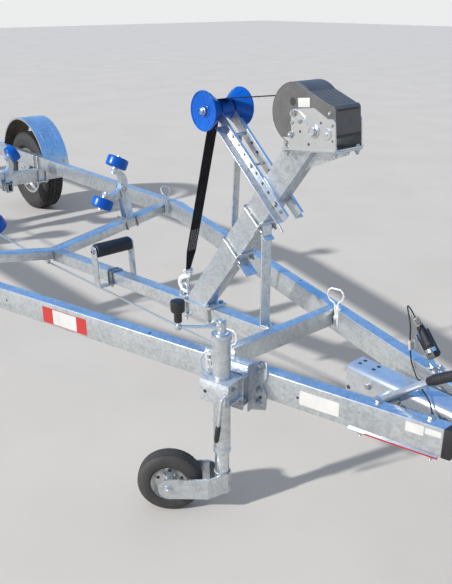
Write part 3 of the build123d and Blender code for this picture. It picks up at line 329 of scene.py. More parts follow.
# Shape tools, all in millimetres
def axes(origin, z_dir, x_dir=None):
    """A frame from its origin, its z axis and a direction near its x axis"""
    z = Vector(z_dir).normalized()
    x = Vector(x_dir) if x_dir else Vector((1, 0, 0) if abs(z.x) < 0.9 else (0, 1, 0))
    x = (x - z * x.dot(z)).normalized()
    y = z.cross(x)
    o = Vector(origin)
    return Matrix(((x.x, y.x, z.x, o.x), (x.y, y.y, z.y, o.y), (x.z, y.z, z.z, o.z), (0, 0, 0, 1)))


def side_frame(side, x, y, z):
    """Frame on a face that looks out to one side, at a place that both sides share"""
    return axes((x, side * y, z), (0, side, 0))


def turns(count, phase=0.0):
    """Equal steps of a full turn"""
    return [2 * pi * i / count + phase for i in range(count)]


def polar(radius, angle, height=0.0):
    return Vector((radius * cos(angle), radius * sin(angle), height))


def mirrored(half):
    """A profile and its mirror image below, whose middle point isn't doubled"""
    return half + [(r, -h) for r, h in reversed(half) if h]


class Shape:
    """A mesh that grows piece by piece and becomes one object"""

    def __init__(self):
        self.bm = bmesh.new()

    def ring(self, points, place=Matrix()):
        return [self.bm.verts.new(place @ Vector(p)) for p in points]

    def skin(self, rings, closed=False):
        """Faces from ring to ring, with two flat ends or closed on itself"""
        for a, b in zip(rings, rings[1:] + rings[:closed]):
            for i in range(len(a)):
                j = (i + 1) % len(a)
                self.bm.faces.new((a[i], a[j], b[j], b[i]))
        if not closed:
            self.bm.faces.new(rings[0][::-1])
            self.bm.faces.new(rings[-1])

    def prism(self, points, z0, z1, place=Matrix()):
        """An outline extruded between two heights of its frame"""
        self.skin([self.ring([(x, y, z) for x, y in points], place) for z in (z0, z1)])

    def box(self, x0, x1, y0, y1, z0, z1, place=Matrix()):
        self.prism([(x0, y0), (x1, y0), (x1, y1), (x0, y1)], z0, z1, place)

    def lathe(self, profile, place=Matrix(), steps=32, closed=False):
        """Radius and height pairs turned about the frame's z axis"""
        rows = [self.ring([polar(r, a, h) for a in turns(steps if r else 1)], place) for r, h in profile]
        for a, b in zip(rows, rows[1:] + rows[:closed]):
            for i in range(steps):
                j = (i + 1) % steps
                corners = (a[i % len(a)], a[j % len(a)], b[j % len(b)], b[i % len(b)])
                corners = tuple(dict.fromkeys(corners))
                if len(corners) > 2:
                    self.bm.faces.new(corners)

    def collar(self, place, inner, outer, z0, z1, steps):
        """A plain ring round the frame's z axis"""
        self.lathe([(inner, z0), (outer, z0), (outer, z1), (inner, z1)], place, steps, True)

    def rod(self, start, end, radius, steps=16, edge=0.0):
        """A capped round bar, its ends chamfered by edge"""
        a, b = Vector(start), Vector(end)
        length = (b - a).length
        profile = [(radius, 0), (radius, length)]
        if edge:
            profile = [(radius - edge, 0), (radius, edge), (radius, length - edge), (radius - edge, length)]
        self.lathe([(0, 0), *profile, (0, length)], axes(a, b - a), steps)

    def wire(self, points, radius, steps=10, closed=False, wide=1.0, deep=1.0, side=None, free=False):
        """A bar along points, of one radius or one for each point, round or flattened

        Its cross-section follows the line, or keeps to a given side, or is free at every point"""
        pts = [Vector(p) for p in points]
        count = len(pts)
        radii = radius if isinstance(radius, list) else [radius] * count
        rings = []
        across = side
        for i, (p, r) in enumerate(zip(pts, radii)):
            if closed:
                t = pts[(i + 1) % count] - pts[i - 1]
            else:
                t = pts[min(i + 1, count - 1)] - pts[max(i - 1, 0)]
            t.normalize()
            if across is None or free:
                across = t.orthogonal().normalized()
            elif side is None:
                across = (across - t * across.dot(t)).normalized()
            up = t.cross(across).normalized()
            spokes = [across * (r * wide * cos(a)) + up * (r * deep * sin(a)) for a in turns(steps)]
            rings.append(self.ring([p + spoke for spoke in spokes]))
        self.skin(rings, closed)

    def swept(self, line, radius_at, side, wide=1.0, steps=16):
        """A bar whose radius depends on the share of the line that lies behind"""
        last = len(line) - 1
        self.wire(line, [radius_at(i / last) for i in range(last + 1)], steps, wide=wide, side=side)

    def weld(self, corners, radius):
        """A rippled bead of weld along a line of points"""
        pts = [Vector(p) for p in corners]
        line = []
        for a, b in zip(pts, pts[1:]):
            count = max(2, int((b - a).length / (radius * 0.9)))
            line += [a.lerp(b, i / count) for i in range(count)]
        line.append(pts[-1])
        radii = [radius * (0.86 + 0.14 * (i % 2) + 0.1 * noise.noise(p * 0.05)) for i, p in enumerate(line)]
        self.wire(line, radii, 6, free=True)

    def hexagon(self, across, z0, z1, place):
        """A hexagon head with its outer corners turned off"""
        r = across / 2 / cos(pi / 6)
        rows = ((r, z0), (r, z1 - (z1 - z0) * 0.16), (across / 2 * 0.97, z1))
        self.skin([self.ring([polar(radius, a, z) for a in turns(6)], place) for radius, z in rows])

    def bolt(self, place, size, stud=0.0, washer=True, domed=False):
        """A washer and hexagon head on a face, or a nut with its stud standing out"""
        thick = 0.18 * size if washer else 0.0
        top = thick + 0.65 * size
        if washer:
            self.lathe([(0, 0), (1.05 * size, 0), (1.05 * size, thick), (0, thick)], place, 20)
        self.hexagon(1.6 * size, thick, top, place)
        if stud:
            self.threads(place, size / 2, top - 1, top + stud)
        elif domed:
            dome = ((0.6, 0), (0.5, 0.2), (0.25, 0.34), (0, 0.38))
            self.lathe([(r * size, top + h * size) for r, h in dome], place, 16)

    def threads(self, place, radius, z0, z1):
        """A stud end with ridges for its thread"""
        pitch = max(1.6, radius * 0.34)
        profile = [(0, z0)]
        z = z0
        while z + pitch < z1:
            profile += [(radius * 0.9, z), (radius, z + pitch / 2)]
            z += pitch
        profile += [(radius * 0.9, z), (radius * 0.75, z1), (0, z1)]
        self.lathe(profile, place, 12)

    def done(self, name, look, body="root", slot=None, replaces=None, bevel=0.0, smooth=35.0):
        """Rounds the mesh's edges and hands it to its body, or to that of the node it stands for"""
        if replaces:
            body, slot = bodies[replaces], slots[replaces]
        slot = slot or look_slots.get(look, "galvanised")
        bmesh.ops.recalc_face_normals(self.bm, faces=self.bm.faces)
        if bevel:
            round_edges(self.bm, bevel, 2)
        bmesh.ops.transform(self.bm, matrix=Matrix.Scale(0.001, 4), verts=self.bm.verts)
        return place_mesh(name, self.bm, look, body, replaces, smooth)


def round_edges(bm, width, segments):
    sharp_angle = radians(28)
    sharp = [e for e in bm.edges if e.is_manifold and e.calc_face_angle(0) > sharp_angle]
    bmesh.ops.bevel(
        bm, geom=sharp, offset=width, segments=segments, profile=0.5, affect="EDGES", clamp_overlap=True
    )


def place_mesh(name, bm, look, body, replaces, smooth=35.0):
    mesh = bpy.data.meshes.new(name)
    bm.to_mesh(mesh)
    bm.free()
    mesh.shade_smooth()
    mesh.set_sharp_from_angle(angle=radians(smooth))
    mesh.materials.append(look)
    piece = in_scene(name, mesh)
    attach(piece, body)
    if replaces:
        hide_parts(replaces)
    return piece


def soften(node, look, width, segments):
    """A copy of a solid with its flat faces made whole again and its edges rounded, in the solid's place"""
    bm = bmesh.new()
    bm.from_mesh(nodes[node].data)
    bmesh.ops.remove_doubles(bm, verts=bm.verts, dist=0.00001)
    bmesh.ops.dissolve_limit(bm, angle_limit=radians(1.0), verts=bm.verts, edges=bm.edges)
    bmesh.ops.recalc_face_normals(bm, faces=bm.faces)
    round_edges(bm, width / 1000, segments)
    place_mesh(node + "_dressed", bm, look, bodies[node], node)


# Every solid gets its material, and a rounded copy where its edges show
node_looks = {
    "galvanised": zinc,
    "zinc_plated": plated,
    "wheel_silver": wheel_paint,
    "tyre": tyre_rubber,
    "black_rubber": rubber,
    "blue_roller": blue,
    "winch_cover": cover_plastic,
    "strap": strap_weave,
    "lamp_red": red_lens,
}
for name, solid in nodes.items():
    solid.data.materials.clear()
    solid.data.materials.append(node_looks[slots[name]])

softened = {
    "side_rail_left": (zinc, 5.0, 3),
    "side_rail_right": (zinc, 5.0, 3),
    "cross_members": (zinc, 4.0, 3),
    "vee_members": (zinc, 3.0, 2),
    "centre_rail": (zinc, 4.0, 3),
    "carrier_beam": (zinc, 4.0, 2),
    "winch_post": (zinc, 2.0, 2),
    "front_brace": (zinc, 1.5, 2),
    "arm_stay": (zinc, 1.0, 2),
    "roller_arms": (zinc_bright, 1.2, 2),
    "cradle_stands": (zinc, 1.5, 2),
    "keel_brackets": (zinc, 1.5, 2),
    "overrun_housing": (zinc_bright, 2.0, 2),
    # The bracket's zinc is darker: painted shade
    "jockey_bracket": (zinc_bracket_shaded, 1.5, 2),
    "rail_caps": (rubber, 3.0, 2),
}
for name, choice in softened.items():
    soften(name, *choice)


# Frames shared by the details
head_tilt = radians(6)
post_angle = radians(52.5)
centre_slope = 143.0 / 1770.0
centre_angle = atan(centre_slope)
post_foot_x = front_x - 509.0
plate_face = 65.3
cover_face = 60.0


def head_point(u, v, y=0.0):
    """A point of the winch's head plate: u forward along it and v up from it"""
    x = front_x + u * cos(head_tilt) - v * sin(head_tilt)
    return Vector((x, y, rail_top + 695.0 + u * sin(head_tilt) + v * cos(head_tilt)))


def head_frame(side, u, v, y=plate_face):
    return axes(head_point(u, v, side * y), (0, side, 0))


def head_arc(middle, radius, first, step, count, y):
    """Points round a place of the head plate, from one angle on in steps, in degrees"""
    angles = [radians(first + step * i) for i in range(count)]
    return [head_point(middle[0] + radius * cos(a), middle[1] + radius * sin(a), y) for a in angles]


def centre_top(x):
    return rail_top - 15.0 - (front_x - 40.0 - x) * centre_slope


def foot_frame(x, height=0.0):
    """Frame on the centre rail's top face at a station"""
    up = Vector((-sin(centre_angle), 0, cos(centre_angle)))
    return axes(Vector((x, 0, centre_top(x))) + up * height, up, (cos(centre_angle), 0, sin(centre_angle)))


def post_point(along, up, y=0.0):
    """A point of the winch post: along it from its foot, and up toward its upper face"""
    x = post_foot_x + along * cos(post_angle) - up * sin(post_angle)
    return Vector((x, y, centre_top(post_foot_x) + along * sin(post_angle) + up * cos(post_angle)))


def rail_y(x):
    return rail_half_spacing - max(0.0, x - kink_x) * rail_slope


def rail_directions(x, side):
    """Along a rail and out of it, side 1 for the left rail"""
    turn = rail_angle if x > kink_x else 0.0
    return Vector((cos(turn), -side * sin(turn), 0)), Vector((sin(turn), side * cos(turn), 0))


def rail_frame(x, side, z, out=0.0):
    """Frame on a rail's outer face: x along the rail, y up or down and z out of the face"""
    along, outward = rail_directions(x, side)
    return axes(Vector((x, side * rail_y(x), z)) + outward * (rail_half + out), outward, along)


def hole_shade_discs(name, spots):
    """Drilled holes, each drawn as a thin dark disc that paints the shade seen in the hole"""
    shape = Shape()
    for place, radius in spots:
        shape.lathe([(radius, 0.0), (radius, 0.25), (0, 0.25)], place, 20)
    shape.done(name, hole_shade_steel)


def rounded_line(corners, radius, steps=6):
    """Corner points of a line, each inner one replaced by an arc"""
    pts = [Vector(c) for c in corners]
    line = [pts[0]]
    for a, b, c in zip(pts, pts[1:], pts[2:]):
        before = (a - b).normalized()
        after = (c - b).normalized()
        half = before.angle(after) / 2
        reach = min(radius / tan(half), (a - b).length * 0.49, (c - b).length * 0.49)
        turn = reach * tan(half)
        centre = b + (before + after).normalized() * (turn / sin(half))
        first = b + before * reach - centre
        last = b + after * reach - centre
        line += [centre + first.lerp(last, i / steps).normalized() * turn for i in range(steps + 1)]
    return line + [pts[-1]]


# Winch: fixings, drive, label and ridges
def winch_fixings():
    shape = Shape()
    heads = (
        (90, 119, 12, 5, False), (115, 92, 8, 6, False), (80, 88, 6, 0, False),
        (72, 49, 11, 0, True), (48, 22, 8, 0, False), (251, 82, 6, 0, True),
    )
    for side in SIDES:
        for u, v, size, stud, domed in heads:
            shape.bolt(head_frame(side, u, v), size, stud, domed=domed)
        shape.bolt(head_frame(side, 240, 116, cover_face), 7, domed=True)
    up = head_point(0, 1) - head_point(0, 0)
    for u, y in ((246, -48), (257, 46), (50, -64), (50, 64)):
        shape.bolt(axes(head_point(u, 5.0, y), up), 10)
        shape.bolt(axes(head_point(u, -6.0, y), -up), 10, stud=7)
    shape.done("winch_fixings", plated_bolt)


def winch_drive():
    """Polished drive end in its collar, the gear's bearing cap and the raised guard round the gears"""
    shape = Shape()
    guard = Shape()
    drive = [(22, 0), (22, 2.5), (20, 4), (15, 4), (14, 6), (14, 15), (12.5, 16.5), (9.2, 16.5), (9.2, 0)]
    cap = [(0, 0), (18, 0), (18, 2), (16.5, 3.4), (7, 3.4), (6, 6), (3, 7), (0, 7)]
    for side in SIDES:
        shape.lathe(drive, head_frame(side, 175, 62), 36, True)
        shape.lathe(cap, head_frame(side, 229, 54), 30)
        guard.wire(head_arc((96, 77), 50, 118, -9.5, 13, side * 66.0), 1.8, 8)
    shape.done("winch_drive", plated)
    guard.done("winch_plate_rib", plated)


def winch_hole_shade():
    # Dark discs of painted shade where the winch's plate and cover have holes
    holes = ((114, 60, plate_face, 4.5), (251, 33, plate_face, 3.5), (205, 88, plate_face, 4.0),
             (150, 20, plate_face, 5.0), (82, 154, cover_face, 13.0))
    hole_shade_discs("winch_hole_shade", [(head_frame(side, u, v, y), r) for side in SIDES for u, v, y, r in holes])


def winch_trim():
    """Moulded lines on the cover's top, its lower lip, two dark strips of painted shade for the gaps on its
    front, and its blank label
    """
    shape = Shape()
    slope = atan2(141.0 - 207.0, 243.0 - 110.0)
    run = head_point(110 + cos(slope), 207 + sin(slope)) - head_point(110, 207)
    for y in (-46, -23, 0, 23, 46):
        place = axes(head_point(112, 206.2, y), run.cross(Vector(FAR)), run)
        shape.box(0, 142, -1.1, 1.1, -0.5, 1.0, place)
    for side in SIDES:
        lip = [head_point(u, v, side * cover_face) for u, v in ((99, 211.5), (172, 175.5), (244, 139.0))]
        shape.wire(lip, 1.6, 8)
        shape.wire(head_arc((84, 117), 98.3, 96, 12.2, 15, side * 59.4), 1.7, 8)
    shape.done("winch_cover_lines", cover_plastic, slot="winch_cover")
    along = head_point(1, 0) - head_point(0, 0)
    # Dark strips of painted shade where the cover's front has gaps
    strip = Shape()
    place = axes(head_point(262.2, 0), along, FAR)
    strip.box(-57, 57, 40, 50, 0, 0.7, place)
    strip.box(-50, 50, 122, 128, 0, 0.7, place)
    strip.done("winch_cover_gap_shade", black_plastic, slot="winch_cover")
    blank = Shape()
    blank.box(105, 156, 136, 165, 0, 0.5, axes(head_point(0, 0, -cover_face), NEAR, along))
    blank.done("winch_cover_label", white_label, slot="winch_cover", bevel=0.2)


# Two arms that carry the bow roller
bow_centre = Vector((front_x - 357.0, 0, rail_top + 783.0))
arm_side = 34.3
arm_inside = 30.0


def arm_fixings():
    shape = Shape()
    for x, z, size in ((1990, 1217, 8), (2089, 1126, 10), (2220, 1012, 12)):
        for side in SIDES:
            shape.bolt(side_frame(side, x, arm_side, z), size, stud=5 if side > 0 else 0)
        if size > 8:
            shape.rod((x, -arm_side, z), (x, arm_side, z), size / 2 - 0.5)
    shape.rod((2228, -arm_side, 952), (2262, -arm_side, 914), 4)
    for side in SIDES:
        shape.bolt(side_frame(side, 2250, arm_side, 990), 8, stud=6)
    shape.done("arm_fixings", plated_bolt)
    # Dark discs of painted shade for the holes on both faces of the arms
    spots = []
    for x, z in ((2026, 1191), (2056, 1161), (2121, 1103), (2154, 1072), (2185, 1045)):
        for side in SIDES:
            spots.append((side_frame(side, x, arm_side, z), 6.0))
            spots.append((axes((x, -side * arm_inside, z), (0, side, 0)), 6.0))
    hole_shade_discs("arm_hole_shade", spots)


def bow_point(side, y, spoke=Vector(), reach=0.0):
    return bow_centre + Vector((0, side * y, 0)) + spoke * reach


def bow_roller_details():
    """Pin caps and washers, and the ribs moulded on the roller's flared ends"""
    caps = Shape()
    ribs = Shape()
    cap = [(10.2, -18), (14, -18), (14, -12), (11.6, -11), (11.6, -2), (9, 0), (0, 0)]
    for side in SIDES:
        out = (0, side, 0)
        caps.lathe(cap, axes(bow_point(side, 107.0), out), 24)
        for a in turns(12, 0.12):
            spoke = Vector((cos(a), 0, sin(a)))
            for y0, r0, y1, r1, radius in ((38.5, 40.4, 84.0, 71.4, 1.6), (82.2, 19.0, 91.6, 68.0, 1.3)):
                start, end = bow_point(side, y0, spoke, r0), bow_point(side, y1, spoke, r1)
                ribs.wire([start, start.lerp(end, 0.5), end], radius, 6)
        rim = axes(bow_point(side, 92.6), out)
        ribs.wire([rim @ polar(71.2, a) for a in turns(48)], 2.4, 8, True)
        hub = axes(bow_point(side, 82.6), out)
        ribs.lathe([(17, -1), (24, -1), (24, 2.5), (22, 4), (17, 4)], hub, 32, True)
    caps.done("bow_roller_caps", plated, "bow_roller", smooth=40)
    ribs.done("bow_roller_ribs", blue_clear, "bow_roller", smooth=40)


# Clamps round the winch post, its base and its welds
def post_clamp_set():
    bolts = Shape()
    plates = Shape()
    up = post_point(0, 1) - post_point(0, 0)
    along = post_point(1, 0) - post_point(0, 0)
    tabs = {588.0: (-28, -22, -24, 24, 0, 44), 394.0: (-26, -20, -30, 30, 0, 70)}
    for station, tab in tabs.items():
        legs = [post_point(station, a, y) for a, y in ((-74, -36), (56, -36), (56, 36), (-74, 36))]
        bolts.wire(rounded_line(legs, 12), 5.0, 12)
        for y in (-36, 36):
            bolts.bolt(axes(post_point(station, -56.0, y), -up, along), 10, stud=8)
        plates.box(-30, 30, -50, 50, 0, 5.5, axes(post_point(station, -50.3), -up, along))
        plates.box(*tab, axes(post_point(station, -56.0), -up, along))
    bolts.done("post_clamp_bolts", plated_bolt)
    plates.done("post_clamp_plates", zinc_bright, bevel=1.0)


def post_base_fixings():
    bolts = Shape()
    plates = Shape()
    for x in (post_foot_x - 58.0, post_foot_x + 96.0):
        top = foot_frame(x, 8.0)
        low = foot_frame(x, -66.0)
        for y in (-38, 38):
            shift = Matrix.Translation((0, y, 0))
            bolts.bolt(top @ shift, 10)
            bolts.rod(low @ Vector((0, y, -8)), top @ Vector((0, y, 0)), 5)
            bolts.bolt(low @ shift @ Matrix.Rotation(pi, 4, "X"), 10, stud=14)
        plates.box(-20, 20, -50, 50, 0.3, 6, low)
    for x, height, y in ((2176.0, 6.0, 12), (post_foot_x - 108.0, 8.0, 11)):
        for side in SIDES:
            bolts.bolt(foot_frame(x, height) @ Matrix.Translation((0, side * y, 0)), 8)
    bolts.done("post_base_bolts", plated_bolt)
    plates.done("post_base_plates", zinc, bevel=1.0)


def post_welds():
    shape = Shape()
    post_half = 50.0
    for side in SIDES:
        shape.weld([head_point(36, -5.5, side * 31.0), head_point(-2, -6.5, side * 31.0)], 3.0)
        edge = [post_point(-20 if side > 0 else 45, side * post_half, y) for y in (-29, 29)]
        shape.weld([(p.x, p.y, centre_top(p.x) + 9.0) for p in edge], 3.6)
        shape.weld([head_point(60, -8, side * 3), head_point(262, -8, side * 3)], 2.2)
    shape.done("post_welds", zinc_dull, smooth=60)


winch_fixings()
winch_drive()
winch_hole_shade()
winch_trim()
arm_fixings()
bow_roller_details()
post_clamp_set()
post_base_fixings()
post_welds()


# Winch strap, with its stitching, and the hook it ends in
strap_rise = radians(7.6)
strap_lean = radians(15.4)
strap_half = 25.0
strap_sheet = 2.5
strap_top_run = 429.5
strap_fall = 745.0
strap_middle = 35.3 + strap_sheet / 2
strap_arc = strap_middle * (pi / 2 - strap_lean - strap_rise)
strap_length = strap_top_run + strap_fall + strap_arc
strap_down = Vector((-sin(strap_lean), 0, -cos(strap_lean)))


def strap_point(travel):
    """A point of the strap's middle line and the direction out of its outer face, from the drum's end"""
    past = min(max(travel - strap_top_run, 0.0), strap_arc)
    angle = pi / 2 + strap_rise + past / strap_middle
    normal = Vector((cos(angle), 0, sin(angle)))
    place = bow_centre + normal * strap_middle
    if travel < strap_top_run:
        place += Vector((cos(strap_rise), 0, sin(strap_rise))) * (strap_top_run - travel)
    else:
        place += strap_down * max(0.0, travel - strap_top_run - strap_arc)
    return place, normal


def make_strap():
    """The webbing as one band with thinner woven edges, gathered at its end, a little slack in its fall"""
    shape = Shape()
    rings = []
    count = 150
    for i in range(count + 1):
        travel = strap_length * i / count
        place, normal = strap_point(travel)
        fall = max(0.0, (travel - strap_top_run - 60) / (strap_fall - 60))
        wave = normal * (0.28 * sin(fall * 9.0) * sin(pi * min(fall, 1.0)))
        narrow = 1.0 - 0.46 * min(1.0, max(0.0, (travel - strap_length + 92.0) / 84.0))
        rows = []
        for y in (-strap_half, -23.6, -21.5, -10.0, 0.0, 10.0, 21.5, 23.6, strap_half):
            thick = strap_sheet / 2 * (0.55 if abs(y) > 24.5 else 0.98 if abs(y) > 21 else 0.82)
            rows.append((place + Vector((0, y * narrow, 0)) + wave, normal * thick))
        rings.append(shape.ring([p + out for p, out in rows] + [p - out for p, out in reversed(rows)]))
    shape.skin(rings)
    strap = shape.done("strap_webbing", strap_weave, replaces="winch_strap", smooth=50)
    stitches = Shape()

    def stitch(travel, length, y, swing, radius, steps):
        start, normal = strap_point(strap_length - travel)
        end, _ = strap_point(strap_length - travel + length)
        for out in (-1.15, 1.15):
            ends = [start + Vector((0, y - swing, 0)), end + Vector((0, y + swing, 0))]
            stitches.wire([p + normal * out for p in ends], radius, steps)

    for y in (-13.5, -4.5, 4.5, 13.5):
        for i in range(14):
            stitch(200.0 - i * 7.4, 5.8, y, 1.8 if i % 2 else -1.8, 0.8, 6)
    for y in (-19.0, 19.0):
        for i in range(16):
            stitch(202.0 - i * 6.4, 4.4, y, 0.0, 0.5, 4)
    thread = stitches.done("strap_stitching", thread_white)
    knots = Shape()
    place, normal = strap_point(98.0)
    for y in (-14.0, 12.0):
        spot = axes(place + Vector((0, y, 0)) + normal * 0.9, normal)
        knots.lathe([(0, 0), (2.6, 0), (2.2, 0.8), (0, 1.0)], spot, 12)
    dots = knots.done("strap_marks", thread_white)


def smooth_line(points, steps=6):
    """A curve through every point"""
    line = []
    for i in range(len(points) - 1):
        before = points[max(i - 1, 0)]
        start, end = points[i], points[i + 1]
        after = points[min(i + 2, len(points) - 1)]
        a = (end - before) * 0.5
        b = (after - start) * 0.5
        for t in [k / steps for k in range(steps)]:
            h = 2 * t ** 3 - 3 * t ** 2 + 1
            line.append(start * h + a * (t ** 3 - 2 * t ** 2 + t) + end * (1 - h) + b * (t ** 3 - t ** 2))
    return line + [points[-1]]


def make_hook():
    """A strap bar in a yoke, a forged snap hook with its gate, and the eye on a bolted tab"""
    shape = Shape()
    across = Vector(FAR)
    bar = strap_point(strap_length)[0] + strap_down * 6.0

    def near_bar(x, z, y=0.0):
        return bar + Vector((x, y, z))

    shape.rod(near_bar(0, 0, -25), near_bar(0, 0, 25), 5.5, 20, 1.2)
    for s in SIDES:
        yoke = smooth_line([near_bar(0, 0, 17 * s), near_bar(6, -8, 16 * s), near_bar(13, -15, 5 * s)])
        shape.swept(yoke, lambda t: 5.6 - 1.2 * t, Vector(FORWARD), 1.2)
        shape.rod(near_bar(0, 0, 13.5 * s), near_bar(0, 0, 18.5 * s), 8.4, 20, 1.2)
        shape.wire([near_bar(x, z, 4.2 * s) for x, z in ((2, -33), (-4, -60), (-4, -96))], 1.8, 8)
    shape.rod(near_bar(13, -9), near_bar(13, -22), 8.5, 20, 1.5)
    bends = [(13, -20), (4, -27), (-22, -35), (-49, -50), (-61, -70), (-56, -90)]
    bends += [(-36, -104), (-12, -105), (0, -97)]
    claw = smooth_line([near_bar(x, z) for x, z in bends])
    shape.swept(claw, lambda t: 5.2 + 7.2 * sin(pi * min(1.0, t * 1.12)) ** 0.7, across, 0.62)
    shape.rod(near_bar(0, -34, -7), near_bar(0, -34, 7), 2.6, 12, 0.5)
    shape.done("snap_hook", ring_steel, replaces="strap_hook", smooth=50)
    base = Shape()
    base.box(-22.7, 22.3, -20, 20, 0.2, 8, foot_frame(post_foot_x - 101.0))
    eye_x = front_x - 614.0
    eye_foot = Vector((eye_x, 0, centre_top(eye_x) + 26.0))
    eye = [(16, -18), (18, 2), (10, 30), (-6, 34), (-17, 24), (-14, 0), (-8, -18)]
    base.swept(smooth_line([eye_foot + Vector((x, 0, z)) for x, z in eye]), lambda t: 5.2, across)
    base.done("hook_eye", zinc_bright, replaces="strap_hook", bevel=0.6)
    cone = Shape()
    profile = [(0, 0), (11, 0), (11, 4), (7.5, 5), (5.5, 20), (3.6, 27), (0, 28)]
    cone.lathe(profile, foot_frame(post_foot_x - 138.0, 0.2), 28)
    cone.done("foot_cone", plated)


make_strap()
make_hook()


# Jockey wheel: tyre, rim, clamp and crank
jockey_x = front_x + 140.0
jockey_heading = radians(227.8)
jockey_y = -(rail_half_spacing - (jockey_x - kink_x) * rail_slope + (rail_half + 119.5) / cos(rail_angle))
jockey_back = polar(1.0, jockey_heading)
jockey_side = polar(1.0, jockey_heading + pi / 2)
jockey_hub = Vector((jockey_x, jockey_y, 115.0)) + jockey_back * 184.0
crank_end = Vector((jockey_x, jockey_y, rail_top + 192.0)) + jockey_back * 139.0
bracket_turn = Matrix.Translation((jockey_x, jockey_y, rail_top - 30.0)) @ Matrix.Rotation(rail_angle, 4, "Z")
clamp_out = 111.5


def jockey_wheel():
    """Tyre with round grooves and a stepped sidewall, on a dished rim whose holes are dark discs of painted
    shade, and a chromed axle bolt
    """
    place = axes(jockey_hub, jockey_side)
    tyre = Shape()
    half = [(66.3, 28), (70, 31), (80, 33.4), (83, 33.0), (84, 33.8), (96, 33.8), (103, 31.5), (109, 27.5)]
    half += [(112.5, 24), (113.2, 20.5), (110.4, 19.8), (110.4, 18.2), (114.2, 17.4), (114.8, 9.4)]
    half += [(111.4, 8.6), (111.4, 6.6), (115, 5.8)]
    tyre.lathe(mirrored(half), place, 64, True)
    for a in turns(40):
        for s in SIDES:
            tyre.wire([place @ polar(104.0, a, s * 30.2), place @ polar(112.4, a, s * 23.0)], 1.5, 6)
    tyre.done("jockey_tyre_dressed", jockey_rubber, replaces="jockey_tyre", smooth=38)
    rim = Shape()
    dish = [(8.06, 53), (19, 53), (20, 52), (20, 22), (24, 14), (36, 10), (52, 12), (58, 22), (63.5, 26)]
    dish += [(66.2, 29.5), (66.2, 27), (62.5, 22), (58, 12), (56, 0)]
    rim.lathe(dish + [(r, -h) for r, h in reversed(dish)], place, 56, True)
    rim.done("jockey_rim_dressed", plated, replaces="jockey_rim", smooth=38)
    # The rim's holes are dark discs of painted shade
    holes = Shape()
    rivets = Shape()
    bolt = Shape()
    for s in SIDES:
        out = jockey_side * s
        for a in turns(5, 0.3):
            holes.lathe([(6.5, 0.2), (6.5, 0.9), (0, 0.9)], axes(place @ polar(44, a, s * 11.0), out), 20)
            rivets.bolt(axes(place @ polar(31, a + pi / 5, s * 11.2), out), 5, washer=False, domed=True)
        spot = axes(jockey_hub + out * 60.3, out)
        bolt.lathe([(0, 0), (17, 0), (17, 2.4), (0, 2.4)], spot, 28)
        bolt.hexagon(22, 2.4, 10.5 if s > 0 else 9.0, spot)
        bolt.rod(spot @ Vector((0, 0, 9)), spot @ Vector((0, 0, 11.5)), 6.5, 16, 1)
    holes.done("jockey_rim_hole_shade", hole_shade_steel, "jockey_wheel", "zinc_plated")
    rivets.done("jockey_rim_bolts", plated_bolt, "jockey_wheel")
    bolt.done("jockey_axle_bolt", plated, "jockey_fork", bevel=0.4)


def jockey_leg_details():
    """Collar, cap ring, screw hub, the crank's eye and the weld of the fork"""
    top = rail_top + 170.0
    low = rail_top - 277.6
    place = axes((jockey_x, jockey_y, 0), UP)
    ring = Shape()
    ring.lathe([(33.2, top - 20), (34.4, top - 19), (34.4, top - 15), (33.2, top - 14)], place, 40, True)
    cap = axes((jockey_x, jockey_y, top), UP)
    ring.lathe([(16.2, 0.2), (25, 0.2), (25, 3), (22, 5), (16.2, 5)], cap, 36, True)
    ring.lathe([(0, 44.2), (11, 44.2), (11, 47), (8, 49), (0, 49.5)], cap, 24)
    ring.lathe([(30.2, low), (31.8, low + 0.6), (31.8, low + 15.6), (30.2, low + 16.6)], place, 40, True)
    middle = Vector((jockey_x, jockey_y, top + 22.0))
    ring.rod(middle - jockey_side * 21.0, middle + jockey_side * 21.0, 3.4, 12, 0.8)
    ring.done("jockey_leg_rings", zinc_bright, "jockey_leg")
    crank = Shape()
    spot = axes(crank_end - Vector((0, 0, 9.5)), UP)
    crank.lathe([(0, 0), (11, 0), (11, 3), (7.2, 6), (7.2, 9)], spot, 24)
    crank.done("crank_eye", plated, "jockey_leg")
    weld = Shape()
    weld.weld([place @ polar(26.5, a, 156.0) for a in turns(26) + [2 * pi]], 3.0)
    weld.done("fork_weld", zinc_dull, "jockey_fork", smooth=60)


def jockey_knob():
    """Moulded knob with flutes round its head, on its pin"""
    place = axes(crank_end + Vector((0, 0, 8.0)), UP)
    shape = Shape()
    profile = [(10.5, 8), (13.0, 9.5), (13.2, 38), (15, 43), (21.5, 46), (23.6, 49), (24.0, 78)]
    profile += [(22.2, 82), (14, 84), (6, 84.4)]
    rows = []
    for r, h in profile:
        depth = 0.9 if 48 < h < 80 else 0.0
        rows.append(shape.ring([polar(r - depth * max(0.0, cos(6 * a)), a, h) for a in turns(60)], place))
    shape.skin(rows)
    shape.done("crank_knob", black_plastic, replaces="jockey_grip", smooth=45)
    pin = Shape()
    pin.rod(crank_end + Vector((0, 0, -2)), crank_end + Vector((0, 0, 19)), 6.0, 20, 0.8)
    pin.collar(axes(crank_end, UP), 6.0, 9.5, 5.2, 7.6, 24)
    pin.done("crank_pin", plated, "jockey_leg", smooth=45)


def clamp_point(x, y, z):
    return bracket_turn @ Vector((x, y, z))


def clamp_frame(x, y, z, out=NEAR):
    return bracket_turn @ axes((x, y, z), out)


